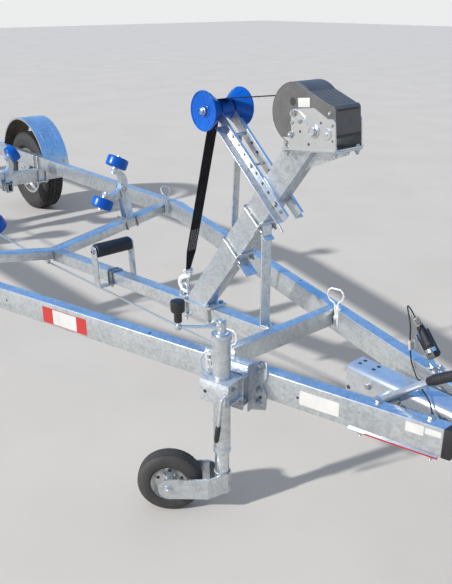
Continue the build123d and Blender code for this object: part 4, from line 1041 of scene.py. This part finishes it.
def clamp_details():
    """Bolts, eye bolt, spring clip, lever grip, welds and dark discs of painted shade for the holes of the
    jockey clamp
    """
    fixings = Shape()
    for x, z in ((76, -88), (80, -38), (80, 40), (-122, 34), (-122, -46)):
        fixings.bolt(clamp_frame(x, clamp_out, z), 12, stud=6)
    for x in (-20, 10, 32):
        fixings.bolt(clamp_frame(x, 88, 14.6, DOWN), 10)
        fixings.bolt(clamp_frame(x, 88, -85, UP), 10)
    fixings.bolt(clamp_frame(88, clamp_out, 62), 12, stud=10)
    for x in (-52, 52):
        fixings.bolt(clamp_frame(x, 45, -62), 10)
    fixings.bolt(clamp_frame(58, -20, 20, FORWARD), 9, stud=8)
    fixings.done("clamp_fixings", plated_bolt)
    loop = Shape()
    strip = [(-40, -20, 44), (-62, -26, 60), (-72, -20, 96), (-58, -12, 120), (-40, -6, 128), (-34, -4, 112)]
    strip += [(-44, 0, 84), (-52, 6, 52)]
    loop.wire(rounded_line([clamp_point(*p) for p in strip], 16), 3.4, 8, deep=0.5)
    loop.done("clamp_spring_clip", zinc_bright)
    grip = Shape()
    a = clamp_point(29.0, -63.3, -108.0)
    b = clamp_point(21.0, -64.1, -172.0)
    profile = [(0, -1), (6.2, 0), (8.5, 3), (9.2, 14), (9.2, 46), (8.4, 58), (5.6, 66), (0, 69)]
    grip.lathe(profile, axes(a, b - a), 24)
    grip.done("clamp_lever_grip", rubber, smooth=50)
    weld = Shape()
    weld.weld([clamp_point(x, -46, 23.5) for x in (-52, 52)], 2.2)
    weld.weld([clamp_point(x, 46.5, 41) for x in (-52, 52)], 2.6)
    weld.weld([clamp_point(50 + 7.5 * cos(a), -47.5, 9 + 7.5 * sin(a)) for a in turns(12) + [2 * pi]], 2.4)
    weld.done("clamp_welds", zinc_dull, smooth=60)
    # Dark discs of painted shade for the clamp's holes
    hole_shade_discs("clamp_hole_shade", [(clamp_frame(-36, -46, -4), 6.5), (clamp_frame(84, clamp_out, -68), 6.0)])


jockey_wheel()
jockey_leg_details()
jockey_knob()
clamp_details()


# Road wheels: tread blocks, sidewall rings, wheel nuts, and vents drawn as dark discs of painted shade
wheel_centre = Vector((front_x - 3920.0, rail_half_spacing + 146.0, 325.0))


def tread_row(shape, place, y, half_width, phase, gap, skew):
    """One ring of tread blocks"""
    count = 66
    low = 315.0
    high = 324.8 if abs(y) < 50 else 323.2
    for i in range(count):
        a0 = 2 * pi * (i + phase) / count
        a1 = a0 + 2 * pi / count * (1 - gap)
        y0, y1 = y - half_width, y + half_width
        corners = ((a0, y0), (a1, y0), (a1 + skew, y1), (a0 + skew, y1))
        shape.skin([shape.ring([polar(r, a, h) for a, h in corners], place) for r in (low, high)])


def road_wheel(name, side):
    body = bodies["tyre_" + name]
    place = side_frame(side, *wheel_centre)
    tyre = Shape()
    half = [(178.4, 62.8), (190.3, 67.8), (200, 71.5), (208, 82), (214, 87.4), (217, 86.6), (219, 88.6)]
    half += [(246, 92.2), (262, 91.8), (264, 92.4), (270, 92.2), (272, 91.2), (289, 88.6), (303, 82.5)]
    half += [(312, 76.5), (316.5, 70), (317, 0)]
    tyre.lathe(mirrored(half) + [(303, -52), (303, 52)], place, 96, True)
    for row in (
        (-58, 11.5, 0.0, 0.22, 0.012),
        (-31.5, 11.0, 0.5, 0.2, 0.02),
        (0, 14.5, 0.2, 0.1, 0.0),
        (31.5, 11.0, 0.7, 0.2, -0.02),
        (58, 11.5, 0.1, 0.22, -0.012),
    ):
        tread_row(tyre, place, *row)
    for s in SIDES:
        for a in turns(72):
            tyre.wire([place @ polar(299, a, s * 83.4), place @ polar(316, a, s * 71)], 2.6, 5)
    tyre.done(f"tyre_{name}_dressed", tyre_rubber, replaces="tyre_" + name, smooth=32)
    fixings = Shape()
    for a in turns(5, 0.2):
        spot = place @ Matrix.Translation(polar(74, a, 38.0))
        fixings.lathe([(0, 0), (14, 0), (12, 4), (0, 4)], spot, 20)
        fixings.hexagon(19, 4, 17, spot)
        fixings.threads(spot, 6, 16, 22)
    fixings.done("wheel_nuts_" + name, plated_bolt, body)
    cap = Shape()
    cap.lathe([(30.2, 66), (31.5, 67), (31.5, 76), (29.5, 81), (24, 86.5), (12, 89.6), (0, 90)], place, 36)
    cap.lathe([(46, 60.6), (51, 60.6), (51, 64), (46, 65)], place, 40, True)
    cap.done("hub_cap_" + name, plated, body)
    # The vents are dark discs of painted shade
    vents = Shape()
    for a in turns(8, 0.12):
        spot = place @ Matrix.Translation(polar(116, a, 47.4)) @ Matrix.Rotation(a, 4, "Z")
        vents.lathe([(13.5, -0.5), (13.5, 0.9), (11.5, 1.1), (0, 1.1)], spot, 24)
    vents.done("wheel_vent_shade_" + name, hole_shade_steel, body, "wheel_silver")
    valve = Shape()
    valve.rod(place @ Vector((150, 0, 42)), place @ Vector((152, 0, 62)), 4.2, 12, 1)
    valve.rod(place @ Vector((152, 0, 61)), place @ Vector((152.6, 0, 68)), 5.2, 12, 1.2)
    valve.done("wheel_valve_" + name, rubber, body)


road_wheel("left", 1)
road_wheel("right", -1)


# Mudguards: rolled edges, mud inside and fixing bolts
def mudguard_details(name, side):
    guard_z = 379.0
    low = asin((425.5 - guard_z) / 390.0)
    angles = [low + (pi - 2 * low) * i / 60 for i in range(61)]

    def guard_point(radius, a, y):
        return (wheel_centre.x + radius * cos(a), side * wheel_centre.y + y, guard_z + radius * sin(a))

    edge = Shape()
    for y, radius, thick, steps in ((103.5, 386.2, 3.4, 8), (60.0, 389.0, 1.7, 6)):
        for s in SIDES:
            edge.wire([guard_point(radius, a, s * y) for a in angles], thick, steps)
    edge.done("mudguard_edges_" + name, zinc_smooth)
    mud = Shape()
    film = ((386.4, -103.0), (386.4, 103.0), (385.8, 103.0), (385.8, -103.0))
    mud.skin([mud.ring([guard_point(r, a, y) for r, y in film]) for a in angles])
    mud.done("mudguard_mud_" + name, mud_film)
    bolts = Shape()
    for s in SIDES:
        for y in (-60.0, 0.0, 60.0):
            bolts.bolt(axes((wheel_centre.x + s * 391.7, side * wheel_centre.y + y, 449.0), (s, 0, 0)), 8)
    bolts.done("mudguard_bolts_" + name, plated_bolt)


mudguard_details("left", 1)
mudguard_details("right", -1)


# Rails: lashing rings, bolts, blank labels, dark discs of painted shade for holes, and welds
def lashing_rings():
    """Pear-shaped wire rings on welded bars, each held by a pin"""
    shape = Shape()
    ring_turn = radians(14.0)
    outline = [(-6, -6), (-12, 22), (-34, 32), (-43, 50), (-40, 72), (-28, 82)]
    outline += [(12, 82), (24, 72), (27, 52), (20, 34), (4, 24), (8, -6)]
    for x in (front_x + 19.0, 468.0):
        for side in SIDES:
            along, outward = rail_directions(x, side)
            corner = Vector((x, side * (rail_y(x) - rail_half / along.x), rail_top + 8))
            loop = [corner - outward * 3 + polar(a, ring_turn, b) for a, b in outline]
            shape.wire(rounded_line(loop, 12), 3.8, 10)
            near, far = (-14, 88) if side > 0 else (-88, 14)
            shape.box(-16, 16, near, far, 0.0, 5.8, axes(corner - outward * 6, outward, along))
            shape.rod(corner - along * 18, corner + along * 18, 4.5, 16, 0.8)
            shape.bolt(axes(corner + along * 18, along), 7, washer=False)
            shape.bolt(axes(corner - outward * 6.2 - Vector((0, 0, 40)), -outward), 10)
    shape.done("lashing_rings", ring_steel, replaces="tie_down_rings", smooth=40)


def rail_bolts():
    shape = Shape()
    # Dark discs of painted shade stand for the rails' holes
    spots = []
    for side in SIDES:
        for x, y in ((2820.0, 152.0), (2981.0, 106.0)):
            shape.bolt(axes((x, side * y, rail_top), UP), 12)
            shape.bolt(axes((x, side * y, rail_bottom - 6.0), DOWN), 12, stud=8)
        for z in (rail_top - 24.0, rail_top - 54.0):
            shape.bolt(rail_frame(front_x - 20.0, side, z), 12)
        spots.append((axes((1947.0, side * 409.0, rail_top), UP), 6.0))
        spots.append((rail_frame(2566.0, side, 464.0), 5.0))
        for x in (-3200.0, -2400.0, -600.0, 900.0, 1180.0):
            spots.append((rail_frame(x, side, 470.0), 5.0))
    shape.bolt(axes((front_x + 572.0, 178.0, rail_top + 4.0), UP), 10, stud=4)
    shape.done("rail_bolts", plated_bolt)
    hole_shade_discs("rail_hole_shade", spots)


def rail_label(name, x0, x1, z0, z1, look, lift=0.0):
    """A blank label with round corners, stuck on the right rail's outer face"""
    x0 -= rail_half * sin(rail_angle)
    x1 -= rail_half * sin(rail_angle)
    length = (x1 - x0) / cos(rail_angle)
    rise = z1 - z0
    r = 3.0
    outline = []
    for cx, cy, start in ((length - r, rise - r, 0), (r, rise - r, 90), (r, r, 180), (length - r, r, 270)):
        for a in [radians(start + 30 * k) for k in range(4)]:
            outline.append((cx + r * cos(a), cy + r * sin(a)))
    shape = Shape()
    shape.prism(outline, 0, 0.35, rail_frame(x0, -1, z0, lift))
    shape.done(name, look)


def frame_welds():
    """Beads where the cross-members, the centre rail and the post's brace meet their neighbours"""
    shape = Shape()
    front_half = rail_y(front_x) - rail_half / cos(rail_angle)
    back_half = rail_y(front_x - 40.0) - rail_half / cos(rail_angle)
    beads = [
        (front_x + 1, front_half, 448, 518, 3.2), (front_x - 41, back_half, 448, 518, 3.2),
        (-3520.0, 758, 442, 518, 3.2), (-3460.0, 758, 442, 518, 3.2),
        (2209, 31, 445, 504, 3.0), (441, 31, 300, 355, 3.0), (kink_x, 810, 424, 516, 1.6),
    ]
    beads += [(station + dx, 758, 436, 484, 3.2) for station in (400.0, -2700.0) for dx in (-41, 41)]
    for side in SIDES:
        for x, y, z0, z1, radius in beads:
            shape.weld([(x, side * y, z0), (x, side * y, z1)], radius)
    shape.weld([(2143, -24, 499.5), (2143, 24, 499.5)], 3.0)
    shape.done("frame_welds", zinc_dull, smooth=60)


lashing_rings()
rail_bolts()
rail_label("rail_label_middle", 2580.0, 2717.0, 442.0, 494.0, white_label)
rail_label("rail_label_front", 2928.0, 2983.0, 475.0, 508.5, white_label)
rail_label("rail_label_end", 2987.0, 3034.0, 486.0, 506.0, white_label)
rail_label("rail_sticker_back", 1404.0, 1646.0, 428.0, 500.0, red_label)
rail_label("rail_sticker_middle", 1462.0, 1592.0, 431.0, 497.0, white_label, 0.36)
frame_welds()


# Overrun unit: dark discs of painted shade for holes, painted edge strip, brake lever's sleeve, plug and
# coupling details
def coupling_details():
    # Dark discs of painted shade stand for the housing's holes
    spots = [(axes((x, y, rail_top + 12.0), UP), 7.0) for x in (2632.0, 2690.0) for y in (-14.0, 14.0)]
    shape = Shape()
    housing_half = 50.0
    for side in SIDES:
        spots.append((side_frame(side, 2618.0, housing_half, 446.0), 8.0))
        spots.append((side_frame(side, 2900.0, housing_half, 470.0), 7.0))
        for x in (2700.0, 2820.0, 3040.0):
            shape.bolt(side_frame(side, x, housing_half, 486.0), 12)
        for x in (2790.0, 3010.0):
            shape.bolt(axes((x, side * (rail_y(x) + 22.0), 414.0), DOWN), 10, stud=6)
        shape.bolt(side_frame(side, 3360.0, 35.4, 462.0), 12, stud=3)
        shape.bolt(side_frame(side, 3330.0, 34.8, 482.0), 12, stud=3)
        shape.bolt(axes((3060.0, side * 18.0, 532.0), UP), 10)
    hole_shade_discs("housing_hole_shade", spots)
    shape.lathe([(0, 0), (13, 0), (13, 3), (8, 6), (0, 7)], axes((2770.0, -88.0, 472.0), NEAR), 28)
    shape.done("coupling_fixings", plated_bolt)
    strip = Shape()
    strip.box(0, 235, -2.6, 2.6, 0, 1.2, rail_frame(2800.0, -1, 417.0, 6.3))
    strip.done("flange_stripe", red_paint)
    rings = Shape()
    for x in (3107.0, 3294.0):
        rings.collar(axes((x, 0, 470.0), FORWARD), 30, 39.5, -4, 4, 40)
        rings.bolt(axes((x, 0, 509.5), UP), 4, washer=False)
    rings.done("bellows_clips", plated)
    lid = Shape()
    lid.lathe([(14, -1), (16.5, 0), (16.5, 6), (12, 9), (0, 9)], axes((3450.0, 0, 524.0), UP), 28)
    lid.done("coupling_knob", rubber)


def lever_sleeve():
    """Soft sleeve of the handbrake lever, curved toward its tip, with grip rings"""
    start = Vector((2941.0, -80.0, 619.0))
    tip = Vector((3065.0, -84.0, 698.0))
    bend = start.lerp(tip, 0.55) + Vector((-4, 0, 7))
    shares = [i / 48 for i in range(49)]
    line = [start * (1 - t) ** 2 + bend * (2 * t * (1 - t)) + tip * t ** 2 for t in shares]

    def grip_radius(t):
        rib = 0.9 if 0.14 < t < 0.84 and int(t * 48) % 4 < 2 else 0.0
        tip_share = max(0.0, (t - 0.9) / 0.1)
        return (13.5 + 2.6 * min(1.0, t * 8) + rib) * max(0.35, 1 - 0.6 * tip_share ** 2)

    shape = Shape()
    shape.swept(line, grip_radius, Vector(FAR), steps=24)
    shape.done("lever_sleeve", rubber, replaces="handbrake_grip", smooth=50)


def plug_details():
    """Grey cable nut, collar rings, finger grooves and the hinged lid on the plug"""
    plug_axis = Vector((-cos(radians(50)), 0, sin(radians(50))))
    place = axes((front_x + 550.5, 178.0, rail_top + 36.0), plug_axis, FAR)
    grey = Shape()
    grey.lathe([(12.6, 119), (13.4, 121), (13.4, 124), (9.7, 124), (9.7, 119)], place, 32, True)
    for a in turns(12):
        grey.rod(place @ polar(10.0, a, 125), place @ polar(10.0, a, 144), 1.5, 6)
    grey.lathe([(9.6, 144), (11, 144), (10.4, 147.5), (9.0, 149.2), (9.0, 144)], place, 32, True)
    grey.done("plug_nut", grey_plastic, smooth=40)
    black = Shape()
    for z in (17.0, 40.0, 45.0):
        black.lathe([(21.1, z), (22.4, z + 0.8), (22.4, z + 2.4), (21.1, z + 3.2)], place, 40, True)
    for z in (60.0, 67.0, 74.0, 81.0):
        inner = 16.8 - (z - 60) * 0.11
        outer = inner + 1.5
        black.lathe([(inner, z), (outer, z + 0.8), (outer, z + 2.6), (inner, z + 3.4)], place, 40, True)
    black.box(-6, 6, 21, 24, 6, 100, place @ Matrix.Rotation(pi, 4, "Z"))
    black.done("plug_rings", black_plastic, smooth=40)
    lid = Shape()
    lid.box(-16, 16, 18.0, 21.0, 2, 34, place @ Matrix.Rotation(pi / 2, 4, "Z"))
    lid.done("plug_lid", cover_plastic, slot="black_rubber", bevel=1.0)


def cable_tag():
    """Blank tag folded round the cable"""
    middle = (front_x + 471.3, 137.3, rail_top + 66.0)
    place = axes(middle, (0.0566, -0.26, 0.964), (0.76, -0.65, 0))
    shape = Shape()
    shape.collar(place, 2.8, 5.6, -20, 20, 20)
    shape.box(-0.6, 0.6, 4.5, 17.0, -20, 20, place)
    return shape.done("cable_tag", white_label, slot="black_rubber", smooth=40)


def diamond_label():
    """Blank label turned on its corner, on the left rail's inner face"""
    place = rail_frame(2846.0 + rail_half * sin(rail_angle), 1, 471.0, -2 * rail_half - 0.35)
    shape = Shape()
    shape.prism([(-25, 8), (-2, -20), (25, -12), (7, 20)], 0, 0.35, place)
    shape.done("rail_label_inner", white_label)


coupling_details()
lever_sleeve()
plug_details()
diamond_label()
make_cable([nodes["plug"], cable_tag()])


# Cradles: rollers with white hub rings that paint a glint, collars, pivot bolts and the U-bolts that clamp
# their stands
cradle_drop = 89.0
cradle_half_span = 128.0
stand_lean = atan((165.0 - 36.0) / 759.0)
# Pivot, tilt and lean of each row, the drop to its stand's foot, and its beam's half width and depth
cradle_rows = {
    "front": ((400.0, 474.0, rail_top + 116.0), radians(62.5), stand_lean, 197.6, 40.0, 50.0),
    "rear": ((-1110.0, 411.0, rail_top - 54.0), radians(30.0), 0.0, 70.0, 20.0, 60.0),
}
flips = {"left": Matrix(), "right": Matrix.Scale(-1, 4, FAR)}


def side_roller(name, place):
    shape = Shape()
    half = [(10.3, 31.4), (46, 31.4), (48, 32), (53, 31.6), (58, 30), (61.6, 27), (63.4, 23)]
    half += [(64, 17), (64, 0)]
    shape.lathe(mirrored(half), place, 64, True)
    shape.done(name + "_dressed", blue, replaces=name, smooth=40)
    # White rings on both ends of the roller paint the glint on its hub
    hub = Shape()
    for z0, z1 in ((-32.6, -31.0), (31.0, 32.6)):
        hub.collar(place, 10.4, 23, z0, z1, 32)
    hub.done(name + "_hub", white_label, bodies[name], slots[name], smooth=40)


def rocker_fixings(name, plane):
    fixings = Shape()
    for end in SIDES:
        axis = plane @ Matrix.Translation((0, cradle_drop, 0)) @ Matrix.Rotation(end * pi / 2, 4, "Y")
        fixings.collar(axis, 10.3, 16, 84.4, 94.6, 28)
        fixings.collar(axis, 10.2, 17, 161.6, 163.6, 28)
        fixings.rod(axis @ Vector((0, -15, 165.6)), axis @ Vector((0, 15, 165.6)), 1.8, 8)
    fixings.done("rocker_fixings_" + name, plated, "cradle_" + name)


def stand_clamps(name, flip, pivot, lean, drop, beam_half, beam_deep):
    """Pivot bolts, foot bolts and a pair of U-bolts round the beam that the stand is on"""
    stand = Shape()
    for s in SIDES:
        stand.bolt(flip @ axes(pivot + Vector((s * 31.8, 0, 0)), (s, 0, 0)), 14)
    base = flip @ Matrix.Translation(pivot) @ Matrix.Rotation(lean, 4, "X")
    low = -drop
    for s in SIDES:
        for t in SIDES:
            stand.bolt(base @ Matrix.Translation((s * 12, t * 14, low + 6)), 8)
    across = name.startswith("front")
    leg = beam_half + 5.5
    ear = leg + 9
    corners = [(-leg, low + 18), (-leg, low - beam_deep - 6), (leg, low - beam_deep - 6), (leg, low + 18)]
    for t in SIDES:
        shift = t * (37.0 if across else 33.0)
        line = [base @ Vector((a, shift, b) if across else (shift, a, b)) for a, b in corners]
        stand.wire(rounded_line(line, 9), 4.5, 10)
        spans = [(-ear, ear), (shift - 7, shift + 7)]
        (x0, x1), (y0, y1) = spans if across else spans[::-1]
        stand.box(x0, x1, y0, y1, low + 0.2, low + 5.8, base)
        for s in SIDES:
            x, y = (s * leg, shift) if across else (shift, s * leg)
            stand.bolt(base @ Matrix.Translation((x, y, low + 5.8)), 8)
    stand.done("stand_clamps_" + name, plated_bolt)


def cradle_details():
    for row_name, (pivot, tilt, *stand) in cradle_rows.items():
        for side_name, flip in flips.items():
            name = f"{row_name}_{side_name}"
            pivot = Vector(pivot)
            plane = flip @ axes(pivot, (-1, 0, 0), (0, -cos(tilt), -sin(tilt)))
            for end, where in ((-1, "outer"), (1, "inner")):
                middle = Matrix.Translation((end * cradle_half_span, cradle_drop, 0))
                side_roller(f"roller_{name}_{where}", plane @ middle @ Matrix.Rotation(pi / 2, 4, "Y"))
            rocker_fixings(name, plane)
            stand_clamps(name, flip, pivot, *stand)


cradle_details()


# Keel rollers with rounded ends, their nuts, and U-bolts that hold the front bracket
keel_x = front_x - 1197.0
keel_up = Vector((-sin(centre_angle), 0, cos(centre_angle)))
# Foot of each bracket, its direction up and the height of its roller's axis
keel_rows = {
    "front": (Vector((keel_x, 0, centre_top(keel_x) - 60.0)), keel_up, 183.0),
    "middle": (Vector((-1305.0, 0, rail_bottom)), Vector(UP), 80.0),
    "rear": (Vector((-3490.0, 0, rail_top)), Vector(UP), 60.0),
}


def keel_roller(name, base, up, rise):
    node = f"keel_roller_{name}"
    shape = Shape()
    half = [(0, 119.6), (7, 119.6), (8, 118.6), (8, 100.2), (26, 100.2), (31.5, 99), (34.2, 96)]
    half += [(35, 91), (35, 0)]
    shape.lathe(mirrored(half), axes(base + up * rise, FAR), 48)
    shape.done(node + "_dressed", rubber, replaces=node, smooth=40)
    nuts = Shape()
    for s in SIDES:
        spot = axes(base + up * rise + Vector((0, s * 110.4, 0)), (0, s, 0))
        nuts.collar(spot, 8.3, 15, 0, 1.8, 28)
        nuts.hexagon(22, 1.8, 9.0, spot)
    nuts.done(node + "_nuts", plated_bolt, bodies[node])


def keel_clamps():
    base, up, _ = keel_rows["front"]
    forward = Vector((up.z, 0, -up.x))
    clamps = Shape()
    for s in SIDES:
        middle = base + forward * (17.0 * s)
        corners = [(-34.5, -18), (-34.5, 64.8), (34.5, 64.8), (34.5, -18)]
        line = [middle + Vector((0, a, 0)) + up * b for a, b in corners]
        clamps.wire(rounded_line(line, 10), 4.2, 10)
        for y in (-34.5, 34.5):
            clamps.bolt(axes(middle + Vector((0, y, 0)) - up * 6.0, -up), 8, stud=4)
    for name in ("middle", "rear"):
        for x in (-14, 14):
            for y in (-18, 18):
                clamps.bolt(axes(keel_rows[name][0] + Vector((x, y, 6.0)), UP), 10)
    clamps.done("keel_clamps", plated_bolt)


for name, row in keel_rows.items():
    keel_roller(name, *row)
keel_clamps()


# U-bolts that hold the carrier beam and the axle to the rails
def beam_clamps():
    shape = Shape()
    plates = Shape()
    carrier_x = -1305.0
    reach = 31.5
    for side in SIDES:
        rail = side * rail_half_spacing
        for x in (carrier_x - reach, carrier_x + reach):
            corners = [(-reach, 300), (-reach, 525.5), (reach, 525.5), (reach, 300)]
            shape.wire(rounded_line([(x, rail + a, b) for a, b in corners], 14), 5.0, 12)
            for y in (rail - reach, rail + reach):
                shape.bolt(axes((x, y, 312.0), DOWN), 10, stud=6)
        plates.box(carrier_x - 44, carrier_x + 44, rail - 44, rail + 44, 312, 319.7)
        for x in (-1540.0, -1460.0):
            shape.bolt(side_frame(side, x, 805.0, 392.0), 12)
            shape.bolt(axes((x, side * 759.0, 392.0), (0, -side, 0)), 12)
        for x in (-1260.0, -1236.0):
            shape.bolt(axes((x, side * 900.0, 425.0), UP), 10)
    shape.done("beam_clamps", plated_bolt)
    plates.done("beam_clamp_plates", zinc, bevel=1.0)


beam_clamps()


# Rear lamps: dark housings, lenses in bands and the board's bolts
def rear_lamps():
    housing = Shape()
    bolts = Shape()
    tail = -3600.0
    inner, outer = 645.0, 885.0
    step = (outer - inner) / 3
    lenses = {
        "lamp_lenses_red": (Shape(), red_lens, 1.02, 1.96),
        "lamp_lenses_amber": (Shape(), amber_lens, 2.02, 2.92),
        "lamp_lenses_clear": (Shape(), clear_lens, 0.04, 0.96),
    }
    for side in SIDES:
        y0, y1 = sorted((side * inner, side * outer))
        housing.box(tail + 7, tail + 25, y0, y1, 420, 520)
        for lens, _, a, b in lenses.values():
            y0, y1 = sorted((side * (inner + step * a), side * (inner + step * b)))
            lens.box(tail, tail + 8, y0, y1, 426, 514)
            for z in [433 + 9.2 * i for i in range(9)]:
                lens.box(tail, tail + 1.0, y0 + 4, y1 - 4, z, z + 3)
        for x in (-3505.0, -3430.0):
            bolts.bolt(side_frame(side, x, 815.0, 470.0), 10)
    housing.done("lamp_housings", black_plastic, replaces="lamps", bevel=2.0)
    for name, (lens, look, _, _) in lenses.items():
        lens.done(name, look, replaces="lamps", bevel=0.9)
    bolts.done("board_bolts", plated_bolt)


rear_lamps()


# Floor, backdrop and light
def make_floor():
    bm = bmesh.new()
    bmesh.ops.create_grid(bm, x_segments=8, y_segments=8, size=40.0)
    mesh = bpy.data.meshes.new("floor")
    bm.to_mesh(mesh)
    bm.free()
    material, tree, coord = new_material("floor_paint")
    clouds = noise_node(tree, coord, 1.5, 3.0)
    tone = ramp_node(tree, clouds, (0.3, (0.60, 0.59, 0.58)), (0.7, (0.64, 0.63, 0.62)))
    mesh.materials.append(finish(material, tone, 0.9))
    in_scene("floor", mesh)


def make_world():
    """Soft even light, with a pale backdrop for the camera and a sky for reflections"""
    world = bpy.data.worlds.new("studio")
    world.use_nodes = True
    tree = world.node_tree
    tree.nodes.clear()
    coord = add_node(tree, "TexCoord").outputs["Generated"]
    height = add_node(tree, "SeparateXYZ", Vector=coord).outputs["Z"]
    haze = (0.0, (0.84, 0.845, 0.85))
    pale = ramp_node(tree, height, haze, (0.35, (0.80, 0.83, 0.87)))
    sky_stops = ((0.07, (0.74, 0.80, 0.87)), (0.20, (0.20, 0.52, 1.0)), (0.7, (0.09, 0.38, 1.0)))
    sky = ramp_node(tree, height, haze, *sky_stops)
    path = add_node(tree, "LightPath").outputs
    seen = math_node(tree, "MAXIMUM", path["Is Camera Ray"], path["Is Transmission Ray"])
    light = add_node(tree, "Background", Color=(0.90, 0.94, 1.0, 1.0), Strength=0.46)
    for share, colour in ((seen, pale), (path["Is Glossy Ray"], sky)):
        mix = add_node(tree, "MixShader", Fac=share)
        feed(tree, mix.inputs[1], light.outputs[0])
        feed(tree, mix.inputs[2], add_node(tree, "Background", Color=colour).outputs[0])
        light = mix
    add_node(tree, "OutputWorld", Surface=light.outputs[0])
    bpy.context.scene.world = world


def make_sun():
    key = bpy.data.lights.new("key", "SUN")
    key.energy = 4.2
    key.angle = radians(2.5)
    key.color = (1.0, 0.955, 0.89)
    lamp = in_scene("key", key)
    lamp.rotation_mode = "QUATERNION"
    lamp.rotation_quaternion = Vector((0.247, 0.969, -0.53)).to_track_quat("-Z", "Y")


make_floor()
make_world()
make_sun()
bpy.context.scene.view_settings.view_transform = "Standard"
